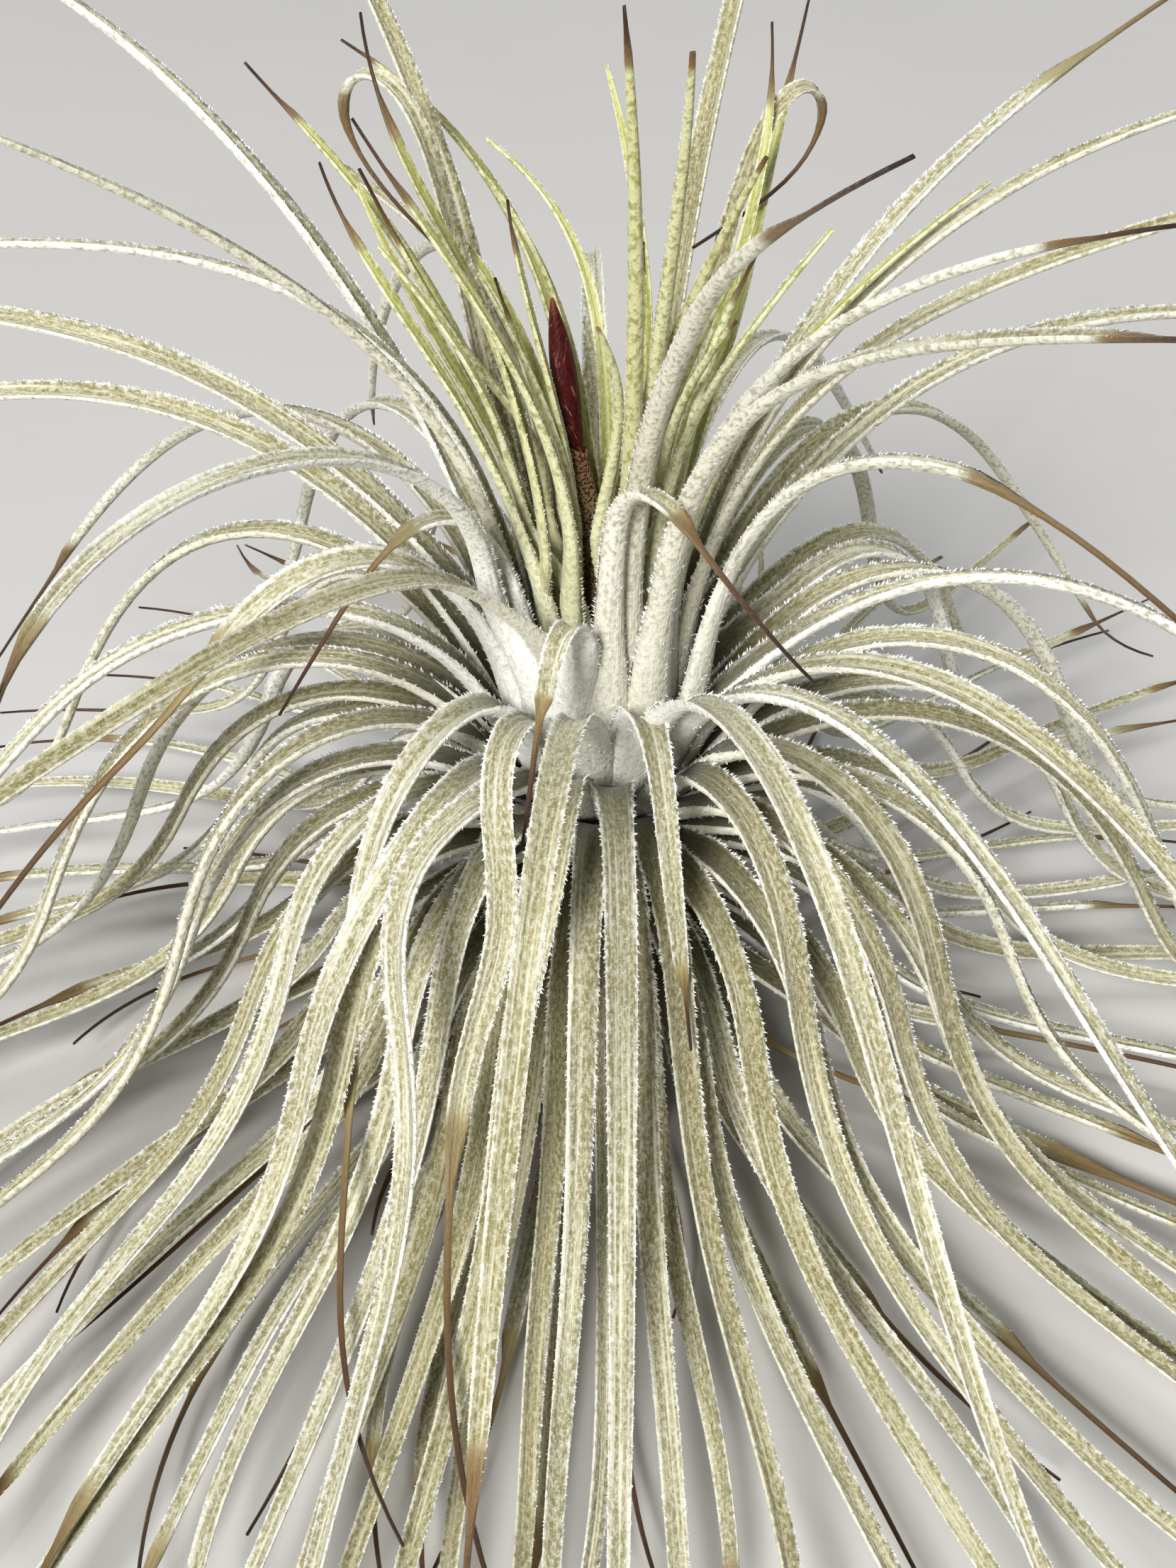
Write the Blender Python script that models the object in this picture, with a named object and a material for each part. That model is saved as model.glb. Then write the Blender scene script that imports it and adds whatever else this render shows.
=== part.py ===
"""Tillandsia magnusiana: a silver air plant, as a rosette of narrow channelled leaves round a short stem.

Metres, +Z up. The origin is the middle of the stem's flat foot, on the surface that the plant lies on.
The front of the plant, where its leaves droop most, looks along -Y.
"""

import math

import bmesh
import bpy
import numpy as np
from mathutils.bvhtree import BVHTree

MM = 0.001

# The leaves follow one spiral, each the golden angle on from the last, oldest and lowest first.
# Each whorl is a run of that spiral: first the broken old leaves, then the silver ones, then the young.
WHORL_LEAVES = (6, 8, 14, 14, 15, 15, 16, 16, 16, 15, 13, 11, 9, 9, 9)
OLD_WHORLS, YOUNG_WHORLS = 2, 3
GOLDEN_ANGLE = math.radians(137.508)
SEED = 7

# Rows of millimetres, degrees or parts of a leaf's length, read from the lowest whorl to the highest.
ROOT_RADIUS = (6.9, 7.6, 9.0, 10.0, 9.8, 8.3, 5.6, 2.8)
ROOT_HEIGHT = (8, 20, 27, 33, 38, 42.5, 46, 49)
LAUNCH = (-62, -34, -8, 22, 54, 76, 84, 88)
FINAL = (-70, -70, -78, -80, -76, -46, 15, 60)
BEND_AT = (0.2, 0.2, 0.22, 0.25, 0.28, 0.36, 0.5, 0.6)
BEND_WIDTH = (0.13, 0.13, 0.12, 0.11, 0.12, 0.14, 0.2, 0.3)
LENGTH = (12, 60, 80, 96, 112, 112, 64, 42)
BLADE_WIDTH = (3.2, 2.6, 2.6, 2.7, 2.9, 2.9, 2.0, 1.5)
ROOT_FLARE = (1.2, 1.1, 1.1, 1.3, 1.5, 1.8, 1.8, 1.5)

# How far a leaf may stray from its whorl, either way.
LAUNCH_STRAY, FINAL_STRAY, SWING_STRAY = 5.0, 12.0, 12.0
BEND_AT_STRAY, BEND_WIDTH_STRAY, LENGTH_STRAY = 0.05, 0.25, 0.14
CURL_STRAY, CURL_FROM = 36.0, 0.55
STEEPEST = -84

# Leaves on the front bend sooner where they are old and stand up where they are young.
FRONT = math.radians(270)
FRONT_DROOP = (0.4, 0.4, 0.45, 0.5, 0.5, 0.0, 0.0, 0.0)
FRONT_LAUNCH = (0, 0, 0, 0, 0, 8, 4, 0)
FRONT_FINAL = (-6, -6, -6, -6, -6, 60, 50, 0)
FRONT_LENGTH = (0, 14, 16, 16, 12, 0, 0, 0)
# All but the young are combed towards the front, less so on the right. The young lean to the back left.
COMB = (20, 70, 68, 60, 48, 30, 14, 0)
RIGHT_COMB = 0.2
YOUNG_LEAN, YOUNG_COMB = math.radians(135), 70.0
# The leaves stand closer together on the front, where the young ones part round the flower spike.
CROWD, CROWD_AT = 0.24, math.radians(244)
PARTING, PARTING_AT, PARTING_REACH = math.radians(26), math.radians(256), math.radians(42)

# The leaves that stand out, each in place of its whorl's nearest leaf:
# whorl, azimuth, launch, final, bend at, bend width, length, swing, curl.
STANDOUTS = (
    (10, 272, 87, -40, 0.60, 0.05, 57, 66, 0),
    (10, 250, 84, -62, 0.50, 0.05, 42, 10, 0),
    (11, 212, 76, -50, 0.55, 0.06, 50, 4, 0),
    (11, 236, 66, -10, 0.30, 0.12, 104, -16, 0),
    (10, 200, 74, -46, 0.30, 0.07, 90, 14, 0),
    (9, 284, 86, -60, 0.30, 0.05, 44, -2, 0),
    (9, 228, 78, -64, 0.16, 0.05, 96, 72, 0),
    (9, 246, 80, -62, 0.15, 0.05, 104, 50, 0),
    (9, 168, 62, -22, 0.35, 0.12, 112, 6, 0),
    (9, 325, 60, -44, 0.25, 0.10, 112, -4, 0),
    (11, 140, 75, -150, 0.72, 0.04, 85, 4, 0),
    (11, 50, 75, -168, 0.74, 0.04, 80, -8, 0),
    (10, 146, 66, 4, 0.50, 0.20, 122, 6, 0),
    (10, 122, 74, 30, 0.50, 0.20, 104, 6, 0),
    (10, 172, 62, -8, 0.36, 0.14, 114, 4, 0),
    (10, 70, 74, 40, 0.50, 0.20, 118, -12, 0),
    (10, 44, 66, 14, 0.30, 0.12, 122, -10, 0),
    (10, 20, 64, -16, 0.34, 0.12, 112, -6, 0),
    (10, 338, 82, -36, 0.32, 0.07, 112, -4, 0),
    (9, 350, 56, -52, 0.32, 0.12, 112, -16, 0),
    (7, 232, 50, -82, 0.16, 0.06, 118, 22, 0),
    (7, 336, 34, -80, 0.20, 0.09, 104, -24, 0),
    (7, 353, 40, -70, 0.24, 0.10, 108, -16, 0),
    (2, 334, -20, -60, 0.30, 0.10, 104, -8, -150),
)

# A leaf's cross-section is an arrowhead: two margins, the keel below and the channel above.
THICKNESS = 0.62 * MM
ROOT_CHANNEL, BLADE_CHANNEL = 0.10, 0.26
WIDTH_PLACES = (0, 0.3, 0.8, 1)
WIDTH_PARTS = (1.05, 0.92, 0.5, 0.2)
FLARE_END = 0.16
SHEATH = 9 * MM
STATIONS = 8
BEND_SHARE, LEAST_TURN = 0.6, 0.5
STEPS = 60

# Leaves that reach the surface ease onto it and lie along it.
FLOOR_EASE = 8 * MM
FLOOR_GAP, REST_LAYER, REST_STRAY = 0.9 * MM, 0.09 * MM, 0.6 * MM

# Leaves that would touch are bent clear of each other, and of the flower spike.
CLEAR_WIDTH, CLEAR_THICKNESS = 0.5 * MM, 0.4 * MM
PUSH, PUSH_REACH = 0.35 * MM, 13 * MM
HELD_ROOT, FREE_FROM = 6 * MM, 16 * MM
SHARED_ROOT = 16 * MM
NEAR_PARALLEL, NEAR_MIDDLE = 0.35, 0.2 * MM
MOST_PASSES = 120

# The sheaths of a whorl join into a cup.
CUP_WALL, CUP_LENGTH, CUP_BELOW_ROOT, CUP_SIDES = 1.1 * MM, 4.0 * MM, 0.6 * MM, 16
CUP_TURN = math.radians(4)

FOOT_RADIUS = 6.0 * MM
STEM_INSET = 1.2 * MM
STEM_TOP = 50.3 * MM
STEM_SIDES = 14

# The flower spike: a speckled sheath with a red bract standing out of it, a little left of upright.
SPIKE_FOOT, SPIKE_TIP = (0.0, 0.0, 50.6), (-4.6, 2.6, 84.0)
SHEATH_END, BRACT_START = 0.60, 0.62
SPIKE_SIDES = 10
SPIKE_CLEARANCE = 2.9 * MM


def at(row, place):
    """A row's value at a place from 0 to 1."""
    return np.interp(place, np.linspace(0, 1, len(row)), row)


def plan_leaves():
    """The leaves' own dimensions, as arrays with one entry for each leaf."""
    whorl = np.repeat(np.arange(len(WHORL_LEAVES)), WHORL_LEAVES)
    place = whorl / (len(WHORL_LEAVES) - 1)
    stray = np.random.default_rng(SEED).uniform(-1, 1, (8, len(whorl)))
    azimuth = np.arange(len(whorl)) * GOLDEN_ANGLE % math.tau
    azimuth -= CROWD * np.sin(azimuth - CROWD_AT)
    young = whorl >= len(WHORL_LEAVES) - YOUNG_WHORLS
    aside = (azimuth - PARTING_AT + math.pi) % math.tau - math.pi
    azimuth += np.where(young, PARTING * np.sign(aside) * np.exp(-((aside / PARTING_REACH) ** 2)), 0)
    front = 0.5 * (1 + np.cos(azimuth - FRONT))
    droop = 1 - at(FRONT_DROOP, place) * front
    combed = -at(COMB, place) * np.cos(azimuth) * np.where(np.cos(azimuth) > 0, RIGHT_COMB, 1)
    leaning = YOUNG_COMB * np.sin(YOUNG_LEAN - azimuth)
    final = at(FINAL, place) + at(FRONT_FINAL, place) * front + FINAL_STRAY * stray[1]
    leaves = {
        "whorl": whorl,
        "azimuth": azimuth,
        "radius": at(ROOT_RADIUS, place) * MM,
        "height": at(ROOT_HEIGHT, place) * MM,
        "lean": np.radians(at(LAUNCH, place)),
        "launch": at(LAUNCH, place) + at(FRONT_LAUNCH, place) * front + LAUNCH_STRAY * stray[0],
        "final": np.maximum(final, STEEPEST),
        "bend_at": (at(BEND_AT, place) + BEND_AT_STRAY * stray[2]) * droop,
        "bend_width": at(BEND_WIDTH, place) * (1 + BEND_WIDTH_STRAY * stray[3]) * droop,
        "length": at(LENGTH, place) * (1 + LENGTH_STRAY * stray[4]) + at(FRONT_LENGTH, place) * front,
        "swing": np.where(young, leaning, combed) + SWING_STRAY * stray[5],
        "curl": CURL_STRAY * stray[7],
        "rest": FLOOR_GAP + REST_LAYER * np.arange(len(whorl)) + REST_STRAY * abs(stray[6]),
        "width": at(BLADE_WIDTH, place) * MM,
        "flare": at(ROOT_FLARE, place),
    }
    names = ("launch", "final", "bend_at", "bend_width", "length", "swing", "curl")
    taken = np.zeros(len(whorl), bool)
    for home, degrees, *values in STANDOUTS:
        off = np.abs((azimuth - math.radians(degrees) + math.pi) % math.tau - math.pi)
        nearest = int(np.argmin(np.where((whorl == home) & ~taken, off, math.inf)))
        taken[nearest] = True
        leaves["azimuth"][nearest] = math.radians(degrees)
        for name, value in zip(names, values):
            leaves[name][nearest] = value
    for name in ("launch", "final", "swing", "curl"):
        leaves[name] = np.radians(leaves[name])
    leaves["length"] *= MM
    return leaves


def turned(t, bend_at, bend_width):
    """How much of its bend a leaf has made at t: 0 at the root and 1 at the tip."""
    def logistic(x):
        return 1 / (1 + np.exp(-np.clip(x / bend_width, -40, 40)))
    low, high = logistic(-bend_at), logistic(1 - bend_at)
    return (logistic(t - bend_at) - low) / (high - low)


def centre_lines(leaves):
    """Each leaf's middle line as STEPS + 1 points, and the level direction across it at each point."""
    count = len(leaves["whorl"])
    points = np.zeros((count, STEPS + 1, 3))
    across = np.zeros((count, STEPS + 1, 3))
    points[:, 0, 0] = leaves["radius"] * np.cos(leaves["azimuth"])
    points[:, 0, 1] = leaves["radius"] * np.sin(leaves["azimuth"])
    points[:, 0, 2] = leaves["height"]
    step = leaves["length"] / STEPS
    for i in range(STEPS + 1):
        t = (i + 0.5) / STEPS
        free = np.clip(i * step / SHEATH, 0, 1)
        free = free**2 * (3 - 2 * free)
        curled = (max(t - CURL_FROM, 0) / (1 - CURL_FROM)) ** 1.5
        heading = leaves["azimuth"] + free * (leaves["swing"] * t**1.5 + leaves["curl"] * curled)
        across[:, i] = np.stack([-np.sin(heading), np.cos(heading), np.zeros(count)], 1)
        if i == STEPS:
            break
        bend = turned(t, leaves["bend_at"], leaves["bend_width"])
        rise = leaves["launch"] + (leaves["final"] - leaves["launch"]) * bend
        rise = leaves["lean"] + (rise - leaves["lean"]) * free
        above = np.maximum(points[:, i, 2] - leaves["rest"], 0)
        rise = np.where(np.cos(rise) > 0, np.maximum(rise, -np.arctan2(above, FLOOR_EASE)), rise)
        level = np.cos(rise)
        along = np.stack([level * np.cos(heading), level * np.sin(heading), np.sin(rise)], 1)
        points[:, i + 1] = points[:, i] + along * step[:, None]
    return points, across


def unit(vectors):
    return vectors / np.linalg.norm(vectors, axis=-1, keepdims=True)


def frames(points, across):
    """The direction across the leaf and the direction that its channel faces, at each point."""
    along = unit(np.gradient(points, axis=1))
    side = unit(across - (across * along).sum(-1, keepdims=True) * along)
    return side, np.cross(along, side)


def station_places(points):
    """For each leaf, the STATIONS places along it from 0 to STEPS, closer together where it bends."""
    along = unit(np.diff(points, axis=1))
    turn = np.arccos(np.clip((along[:, 1:] * along[:, :-1]).sum(-1), -1, 1))
    turn = np.pad(turn, ((0, 0), (1, 0)))
    share = turn / np.maximum(turn.sum(1, keepdims=True), LEAST_TURN)
    weight = 1 / STEPS + BEND_SHARE * share
    travelled = np.pad(np.cumsum(weight, 1), ((0, 0), (1, 0)))
    wanted = np.linspace(0, 1, STATIONS)
    steps = np.arange(STEPS + 1)
    return np.array([np.interp(wanted * row[-1], row, steps) for row in travelled])


def sample(values, places):
    """Values along each leaf, read between its points at these places."""
    low = np.minimum(places.astype(int), STEPS - 1)
    part = (places - low)[..., None]
    rows = np.arange(len(values))[:, None]
    return values[rows, low] * (1 - part) + values[rows, low + 1] * part


def leaf_rings(leaves, points, across, places, more_width=0.0, more_thickness=0.0):
    """The corners of each leaf's cross-section at these places: margin, keel, margin, channel."""
    side, face = (unit(sample(v, places)) for v in frames(points, across))
    middle = sample(points, places)
    t = places / STEPS
    clear_of_root = np.clip(t * leaves["length"][:, None] / FREE_FROM, 0, 1)
    flare = 1 + (leaves["flare"][:, None] - 1) * np.clip(1 - t / FLARE_END, 0, 1)
    width = leaves["width"][:, None] * np.interp(t, WIDTH_PLACES, WIDTH_PARTS) * flare
    channel = width * np.interp(t, (0, FLARE_END), (ROOT_CHANNEL, BLADE_CHANNEL))
    width += more_width * clear_of_root
    thickness = THICKNESS + more_thickness * clear_of_root
    corners = []
    for x, y, z in ((-0.5, 1, 0), (0, 0, -0.5), (0.5, 1, 0), (0, 0, 0.5)):
        out = side * (width * x)[..., None] + face * (channel * y + thickness * z)[..., None]
        corners.append(middle + out)
    return np.stack(corners, 2)


def ring_triangles(stations):
    """A tube of four-cornered rings with closed ends, split alike on its upper and lower faces."""
    faces = []
    for s in range(stations - 1):
        for c in range(4):
            a, b = 4 * s + c, 4 * s + (c + 1) % 4
            if c % 2:
                faces += [(a, b, a + 4), (b, b + 4, a + 4)]
            else:
                faces += [(a, b, b + 4), (a, b + 4, a + 4)]
    end = 4 * (stations - 1)
    caps = [(0, 3, 1), (1, 3, 2), (end, end + 1, end + 3), (end + 1, end + 2, end + 3)]
    return np.array(faces + caps)


def crossings(rings):
    """(leaf, station, leaf, station) for each pair of leaves that touch, at the middle of where they do."""
    faces = ring_triangles(STATIONS)
    corners_each = STATIONS * 4
    every = (faces[None] + (np.arange(len(rings)) * corners_each)[:, None, None]).reshape(-1, 3)
    tree = BVHTree.FromPolygons(rings.reshape(-1, 3).tolist(), every.tolist(), all_triangles=True)
    pairs = np.array(tree.overlap(tree))
    leaf, face = pairs // len(faces), pairs % len(faces)
    station = faces[face].mean(-1) / 4
    keep = leaf[:, 0] < leaf[:, 1]
    leaf, station = leaf[keep], station[keep]
    found = []
    for a, b in np.unique(leaf, axis=0):
        here = (leaf[:, 0] == a) & (leaf[:, 1] == b)
        found.append((a, station[here, 0].mean(), b, station[here, 1].mean()))
    return found


def clear_spike(points, free):
    """Bends leaves out of the flower spike's way."""
    foot, tip = np.array(SPIKE_FOOT) * MM, np.array(SPIKE_TIP) * MM
    axis = tip - foot
    part = np.clip(((points - foot) @ axis) / (axis @ axis), 0, 1)
    away = points - (foot + part[..., None] * axis)
    distance = np.linalg.norm(away, axis=-1)
    short = np.maximum(SPIKE_CLEARANCE - distance, 0) * free
    return points + away * (short / np.maximum(distance, 0.1 * MM))[..., None]


def bend_clear(leaves, points, across):
    """Bends leaves that touch apart, square to both, with their roots held."""
    arc = np.linspace(0, 1, STEPS + 1)[None] * leaves["length"][:, None]
    free = np.clip((arc - HELD_ROOT) / (FREE_FROM - HELD_ROOT), 0, 1)
    for _ in range(MOST_PASSES):
        points = clear_spike(points, free)
        places = station_places(points)
        rings = leaf_rings(leaves, points, across, places, CLEAR_WIDTH, CLEAR_THICKNESS)
        along = unit(np.gradient(points, axis=1))
        face = frames(points, across)[1]
        touching = 0
        for a, station_a, b, station_b in crossings(rings):
            ia = int(round(np.interp(station_a, np.arange(STATIONS), places[a])))
            ib = int(round(np.interp(station_b, np.arange(STATIONS), places[b])))
            near_root = arc[a, ia] < SHARED_ROOT and arc[b, ib] < SHARED_ROOT
            if near_root and leaves["whorl"][a] == leaves["whorl"][b]:
                continue
            touching += 1
            square = np.cross(along[a, ia], along[b, ib])
            if np.linalg.norm(square) < NEAR_PARALLEL:
                square = face[a, ia] + face[b, ib]
            square /= max(np.linalg.norm(square), 1e-6)
            apart = (points[a, ia] - points[b, ib]) @ square
            if abs(apart) < NEAR_MIDDLE:
                apart = -(square @ (face[a, ia] + face[b, ib]))
            square *= math.copysign(PUSH, apart)
            for leaf, i, way in ((a, ia, 1), (b, ib, -1)):
                share = np.exp(-(((arc[leaf] - arc[leaf, i]) / PUSH_REACH) ** 2)) * free[leaf]
                points[leaf] += way * share[:, None] * square
        points[..., 2] += np.maximum(FLOOR_GAP - points[..., 2], 0)
        if not touching:
            break
    return points


def add_object(name, mesh):
    made = bpy.data.objects.new(name, mesh)
    bpy.context.scene.collection.objects.link(made)
    return made


def mesh_object(name, vertices, faces):
    """A closed object with its faces pointing out."""
    mesh = bpy.data.meshes.new(name)
    mesh.from_pydata(vertices.tolist(), [], faces.tolist())
    body = bmesh.new()
    body.from_mesh(mesh)
    bmesh.ops.recalc_face_normals(body, faces=body.faces)
    body.to_mesh(mesh)
    body.free()
    return add_object(name, mesh)


def turned_object(name, profile, sides):
    """A closed profile of (radius, height) points turned round Z."""
    body = bmesh.new()
    corner = (math.cos(CUP_TURN), math.sin(CUP_TURN))
    points = [body.verts.new((r * corner[0], r * corner[1], height)) for r, height in profile]
    edges = [body.edges.new((points[i], points[(i + 1) % len(points)])) for i in range(len(points))]
    bmesh.ops.spin(
        body, geom=points + edges, axis=(0, 0, 1), angle=math.tau, steps=sides, use_merge=True
    )
    bmesh.ops.remove_doubles(body, verts=body.verts, dist=1e-6)
    bmesh.ops.triangulate(body, faces=body.faces)
    bmesh.ops.recalc_face_normals(body, faces=body.faces)
    mesh = bpy.data.meshes.new(name)
    body.to_mesh(mesh)
    body.free()
    return add_object(name, mesh)


def join(name, pieces):
    """One body from pieces that overlap."""
    first, rest = pieces[0], pieces[1:]
    group = bpy.data.collections.new(name)
    bpy.context.scene.collection.children.link(group)
    for piece in rest:
        bpy.context.scene.collection.objects.unlink(piece)
        group.objects.link(piece)
    union = first.modifiers.new("join", "BOOLEAN")
    union.operation = "UNION"
    union.operand_type = "COLLECTION"
    union.collection = group
    union.solver = "MANIFOLD"
    joined = bpy.data.meshes.new_from_object(first.evaluated_get(bpy.context.evaluated_depsgraph_get()))
    first.modifiers.clear()
    first.data = joined
    first.name = name
    for piece in rest:
        bpy.data.objects.remove(piece)
    bpy.data.collections.remove(group)
    return first


def cup(name, radius, height, lean):
    """The joined sheaths of a whorl, as a short conical wall that leans as its leaves do."""
    root = np.array([radius, height])
    along = np.array([math.cos(lean), math.sin(lean)])
    out = np.array([math.sin(lean), -math.cos(lean)]) * CUP_WALL / 2
    start, end = root - along * CUP_BELOW_ROOT, root + along * CUP_LENGTH
    return turned_object(name, [start + out, end + out, end - out, start - out], CUP_SIDES)


def spindle(name, start, end, radii):
    """A round tapering body along the flower spike, between two parts of its length."""
    foot, tip = np.array(SPIKE_FOOT) * MM, np.array(SPIKE_TIP) * MM
    angles = np.linspace(0, math.tau, SPIKE_SIDES, endpoint=False)
    rings = [
        foot + (tip - foot) * part + radius * MM * np.array([math.cos(a), math.sin(a), 0])
        for part, radius in zip(np.linspace(start, end, len(radii)), radii)
        for a in angles
    ]
    faces = []
    for ring in range(len(radii) - 1):
        for side in range(SPIKE_SIDES):
            a, b = ring * SPIKE_SIDES + side, ring * SPIKE_SIDES + (side + 1) % SPIKE_SIDES
            faces += [(a, b, b + SPIKE_SIDES), (a, b + SPIKE_SIDES, a + SPIKE_SIDES)]
    last = (len(radii) - 1) * SPIKE_SIDES
    for side in range(1, SPIKE_SIDES - 1):
        faces += [(0, side + 1, side), (last, last + side, last + side + 1)]
    return mesh_object(name, np.array(rings), np.array(faces))


def finish(piece, colour, roughness):
    """Smooth shading and a plain surface of its own."""
    made = bpy.data.materials.new(piece.name)
    made.use_nodes = True
    shader = made.node_tree.nodes["Principled BSDF"]
    shader.inputs["Base Color"].default_value = (*colour, 1)
    shader.inputs["Roughness"].default_value = roughness
    shader.inputs["Metallic"].default_value = 0
    piece.data.materials.clear()
    piece.data.materials.append(made)
    piece.data.shade_smooth()
    piece.data.set_sharp_from_angle(angle=math.radians(50))


def whorl_look(whorl):
    """A whorl's name, colour and roughness."""
    first_young = len(WHORL_LEAVES) - YOUNG_WHORLS
    if whorl < OLD_WHORLS:
        return f"old_whorl_{whorl + 1}", (0.33, 0.29, 0.20), 0.9
    if whorl < first_young:
        return f"silver_whorl_{whorl - OLD_WHORLS + 1:02d}", (0.60, 0.61, 0.47), 0.85
    return f"young_whorl_{whorl - first_young + 1}", (0.56, 0.58, 0.24), 0.7


def make_whorls():
    leaves = plan_leaves()
    points, across = centre_lines(leaves)
    points = bend_clear(leaves, points, across)
    rings = leaf_rings(leaves, points, across, station_places(points))
    faces = ring_triangles(STATIONS)
    for whorl in range(len(WHORL_LEAVES)):
        members = np.flatnonzero(leaves["whorl"] == whorl)
        first = members[0]
        pieces = [cup("cup", leaves["radius"][first], leaves["height"][first], leaves["lean"][first])]
        pieces += [mesh_object("leaf", rings[i].reshape(-1, 3), faces) for i in members]
        name, colour, roughness = whorl_look(whorl)
        finish(join(name, pieces), colour, roughness)


def make_stem():
    profile = [(0, 0), (FOOT_RADIUS, 0)]
    for radius, height in zip(ROOT_RADIUS, ROOT_HEIGHT):
        profile.append((radius * MM - STEM_INSET, height * MM))
    profile += [(profile[-1][0], STEM_TOP), (0, STEM_TOP)]
    finish(turned_object("stem", profile, STEM_SIDES), (0.22, 0.16, 0.10), 0.9)


def make_flower_spike():
    sheath = spindle("spike_sheath", 0, SHEATH_END, (0.9, 1.4, 1.5, 1.2, 0.9))
    finish(sheath, (0.24, 0.17, 0.08), 0.6)
    bract = spindle("red_bract", BRACT_START, 1, (0.9, 1.3, 1.3, 0.9, 0.35))
    finish(bract, (0.22, 0.035, 0.02), 0.45)


def main():
    for thing in list(bpy.data.objects):
        bpy.data.objects.remove(thing)
    make_stem()
    make_whorls()
    make_flower_spike()


main()
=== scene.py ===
"""Tillandsia magnusiana: the silver air plant's fine leaves, fur and colours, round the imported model.

Metres, +Z up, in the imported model's frame. The camera looks from -Y, the plant's front.
"""

import math

import bpy
import numpy as np
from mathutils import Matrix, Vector
from mathutils.bvhtree import BVHTree


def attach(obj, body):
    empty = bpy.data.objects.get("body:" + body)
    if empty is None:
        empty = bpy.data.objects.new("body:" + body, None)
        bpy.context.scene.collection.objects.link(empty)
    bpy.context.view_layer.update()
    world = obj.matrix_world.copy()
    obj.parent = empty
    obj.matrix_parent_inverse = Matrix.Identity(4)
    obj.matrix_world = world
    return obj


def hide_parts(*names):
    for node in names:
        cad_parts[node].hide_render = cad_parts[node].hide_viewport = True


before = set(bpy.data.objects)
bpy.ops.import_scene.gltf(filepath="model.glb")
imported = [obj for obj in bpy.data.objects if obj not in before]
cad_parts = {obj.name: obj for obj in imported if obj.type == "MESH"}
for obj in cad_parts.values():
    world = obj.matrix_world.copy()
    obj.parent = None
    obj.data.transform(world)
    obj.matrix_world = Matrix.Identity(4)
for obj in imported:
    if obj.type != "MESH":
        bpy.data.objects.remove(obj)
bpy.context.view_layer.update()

MM = 0.001

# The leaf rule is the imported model's own, so that each fine leaf lies where its solid leaf does.
WHORL_LEAVES = (6, 8, 14, 14, 15, 15, 16, 16, 16, 15, 13, 11, 9, 9, 9)
OLD_WHORLS, YOUNG_WHORLS = 2, 3
GOLDEN_ANGLE = math.radians(137.508)
SEED = 7

# Rows of millimetres, degrees or parts of a leaf's length, read from the lowest whorl to the highest.
ROOT_RADIUS = (6.9, 7.6, 9.0, 10.0, 9.8, 8.3, 5.6, 2.8)
ROOT_HEIGHT = (8, 20, 27, 33, 38, 42.5, 46, 49)
LAUNCH = (-62, -34, -8, 22, 54, 76, 84, 88)
FINAL = (-70, -70, -78, -80, -76, -46, 15, 60)
BEND_AT = (0.2, 0.2, 0.22, 0.25, 0.28, 0.36, 0.5, 0.6)
BEND_WIDTH = (0.13, 0.13, 0.12, 0.11, 0.12, 0.14, 0.2, 0.3)
LENGTH = (12, 60, 80, 96, 112, 112, 64, 42)
BLADE_WIDTH = (3.2, 2.6, 2.6, 2.7, 2.9, 2.9, 2.0, 1.5)
ROOT_FLARE = (1.2, 1.1, 1.1, 1.3, 1.5, 1.8, 1.8, 1.5)

# How far a leaf may stray from its whorl, either way.
LAUNCH_STRAY, FINAL_STRAY, SWING_STRAY = 5.0, 12.0, 12.0
BEND_AT_STRAY, BEND_WIDTH_STRAY, LENGTH_STRAY = 0.05, 0.25, 0.14
CURL_STRAY, CURL_FROM = 36.0, 0.55
STEEPEST = -84

# Leaves on the front bend sooner where they are old and stand up where they are young.
FRONT = math.radians(270)
FRONT_DROOP = (0.4, 0.4, 0.45, 0.5, 0.5, 0.0, 0.0, 0.0)
FRONT_LAUNCH = (0, 0, 0, 0, 0, 8, 4, 0)
FRONT_FINAL = (-6, -6, -6, -6, -6, 60, 50, 0)
FRONT_LENGTH = (0, 14, 16, 16, 12, 0, 0, 0)
# All but the young are combed towards the front, less so on the right. The young lean to the back left.
COMB = (20, 70, 68, 60, 48, 30, 14, 0)
RIGHT_COMB = 0.2
YOUNG_LEAN, YOUNG_COMB = math.radians(135), 70.0
# The leaves stand closer together on the front, where the young ones part round the flower spike.
CROWD, CROWD_AT = 0.24, math.radians(244)
PARTING, PARTING_AT, PARTING_REACH = math.radians(26), math.radians(256), math.radians(42)

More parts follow.
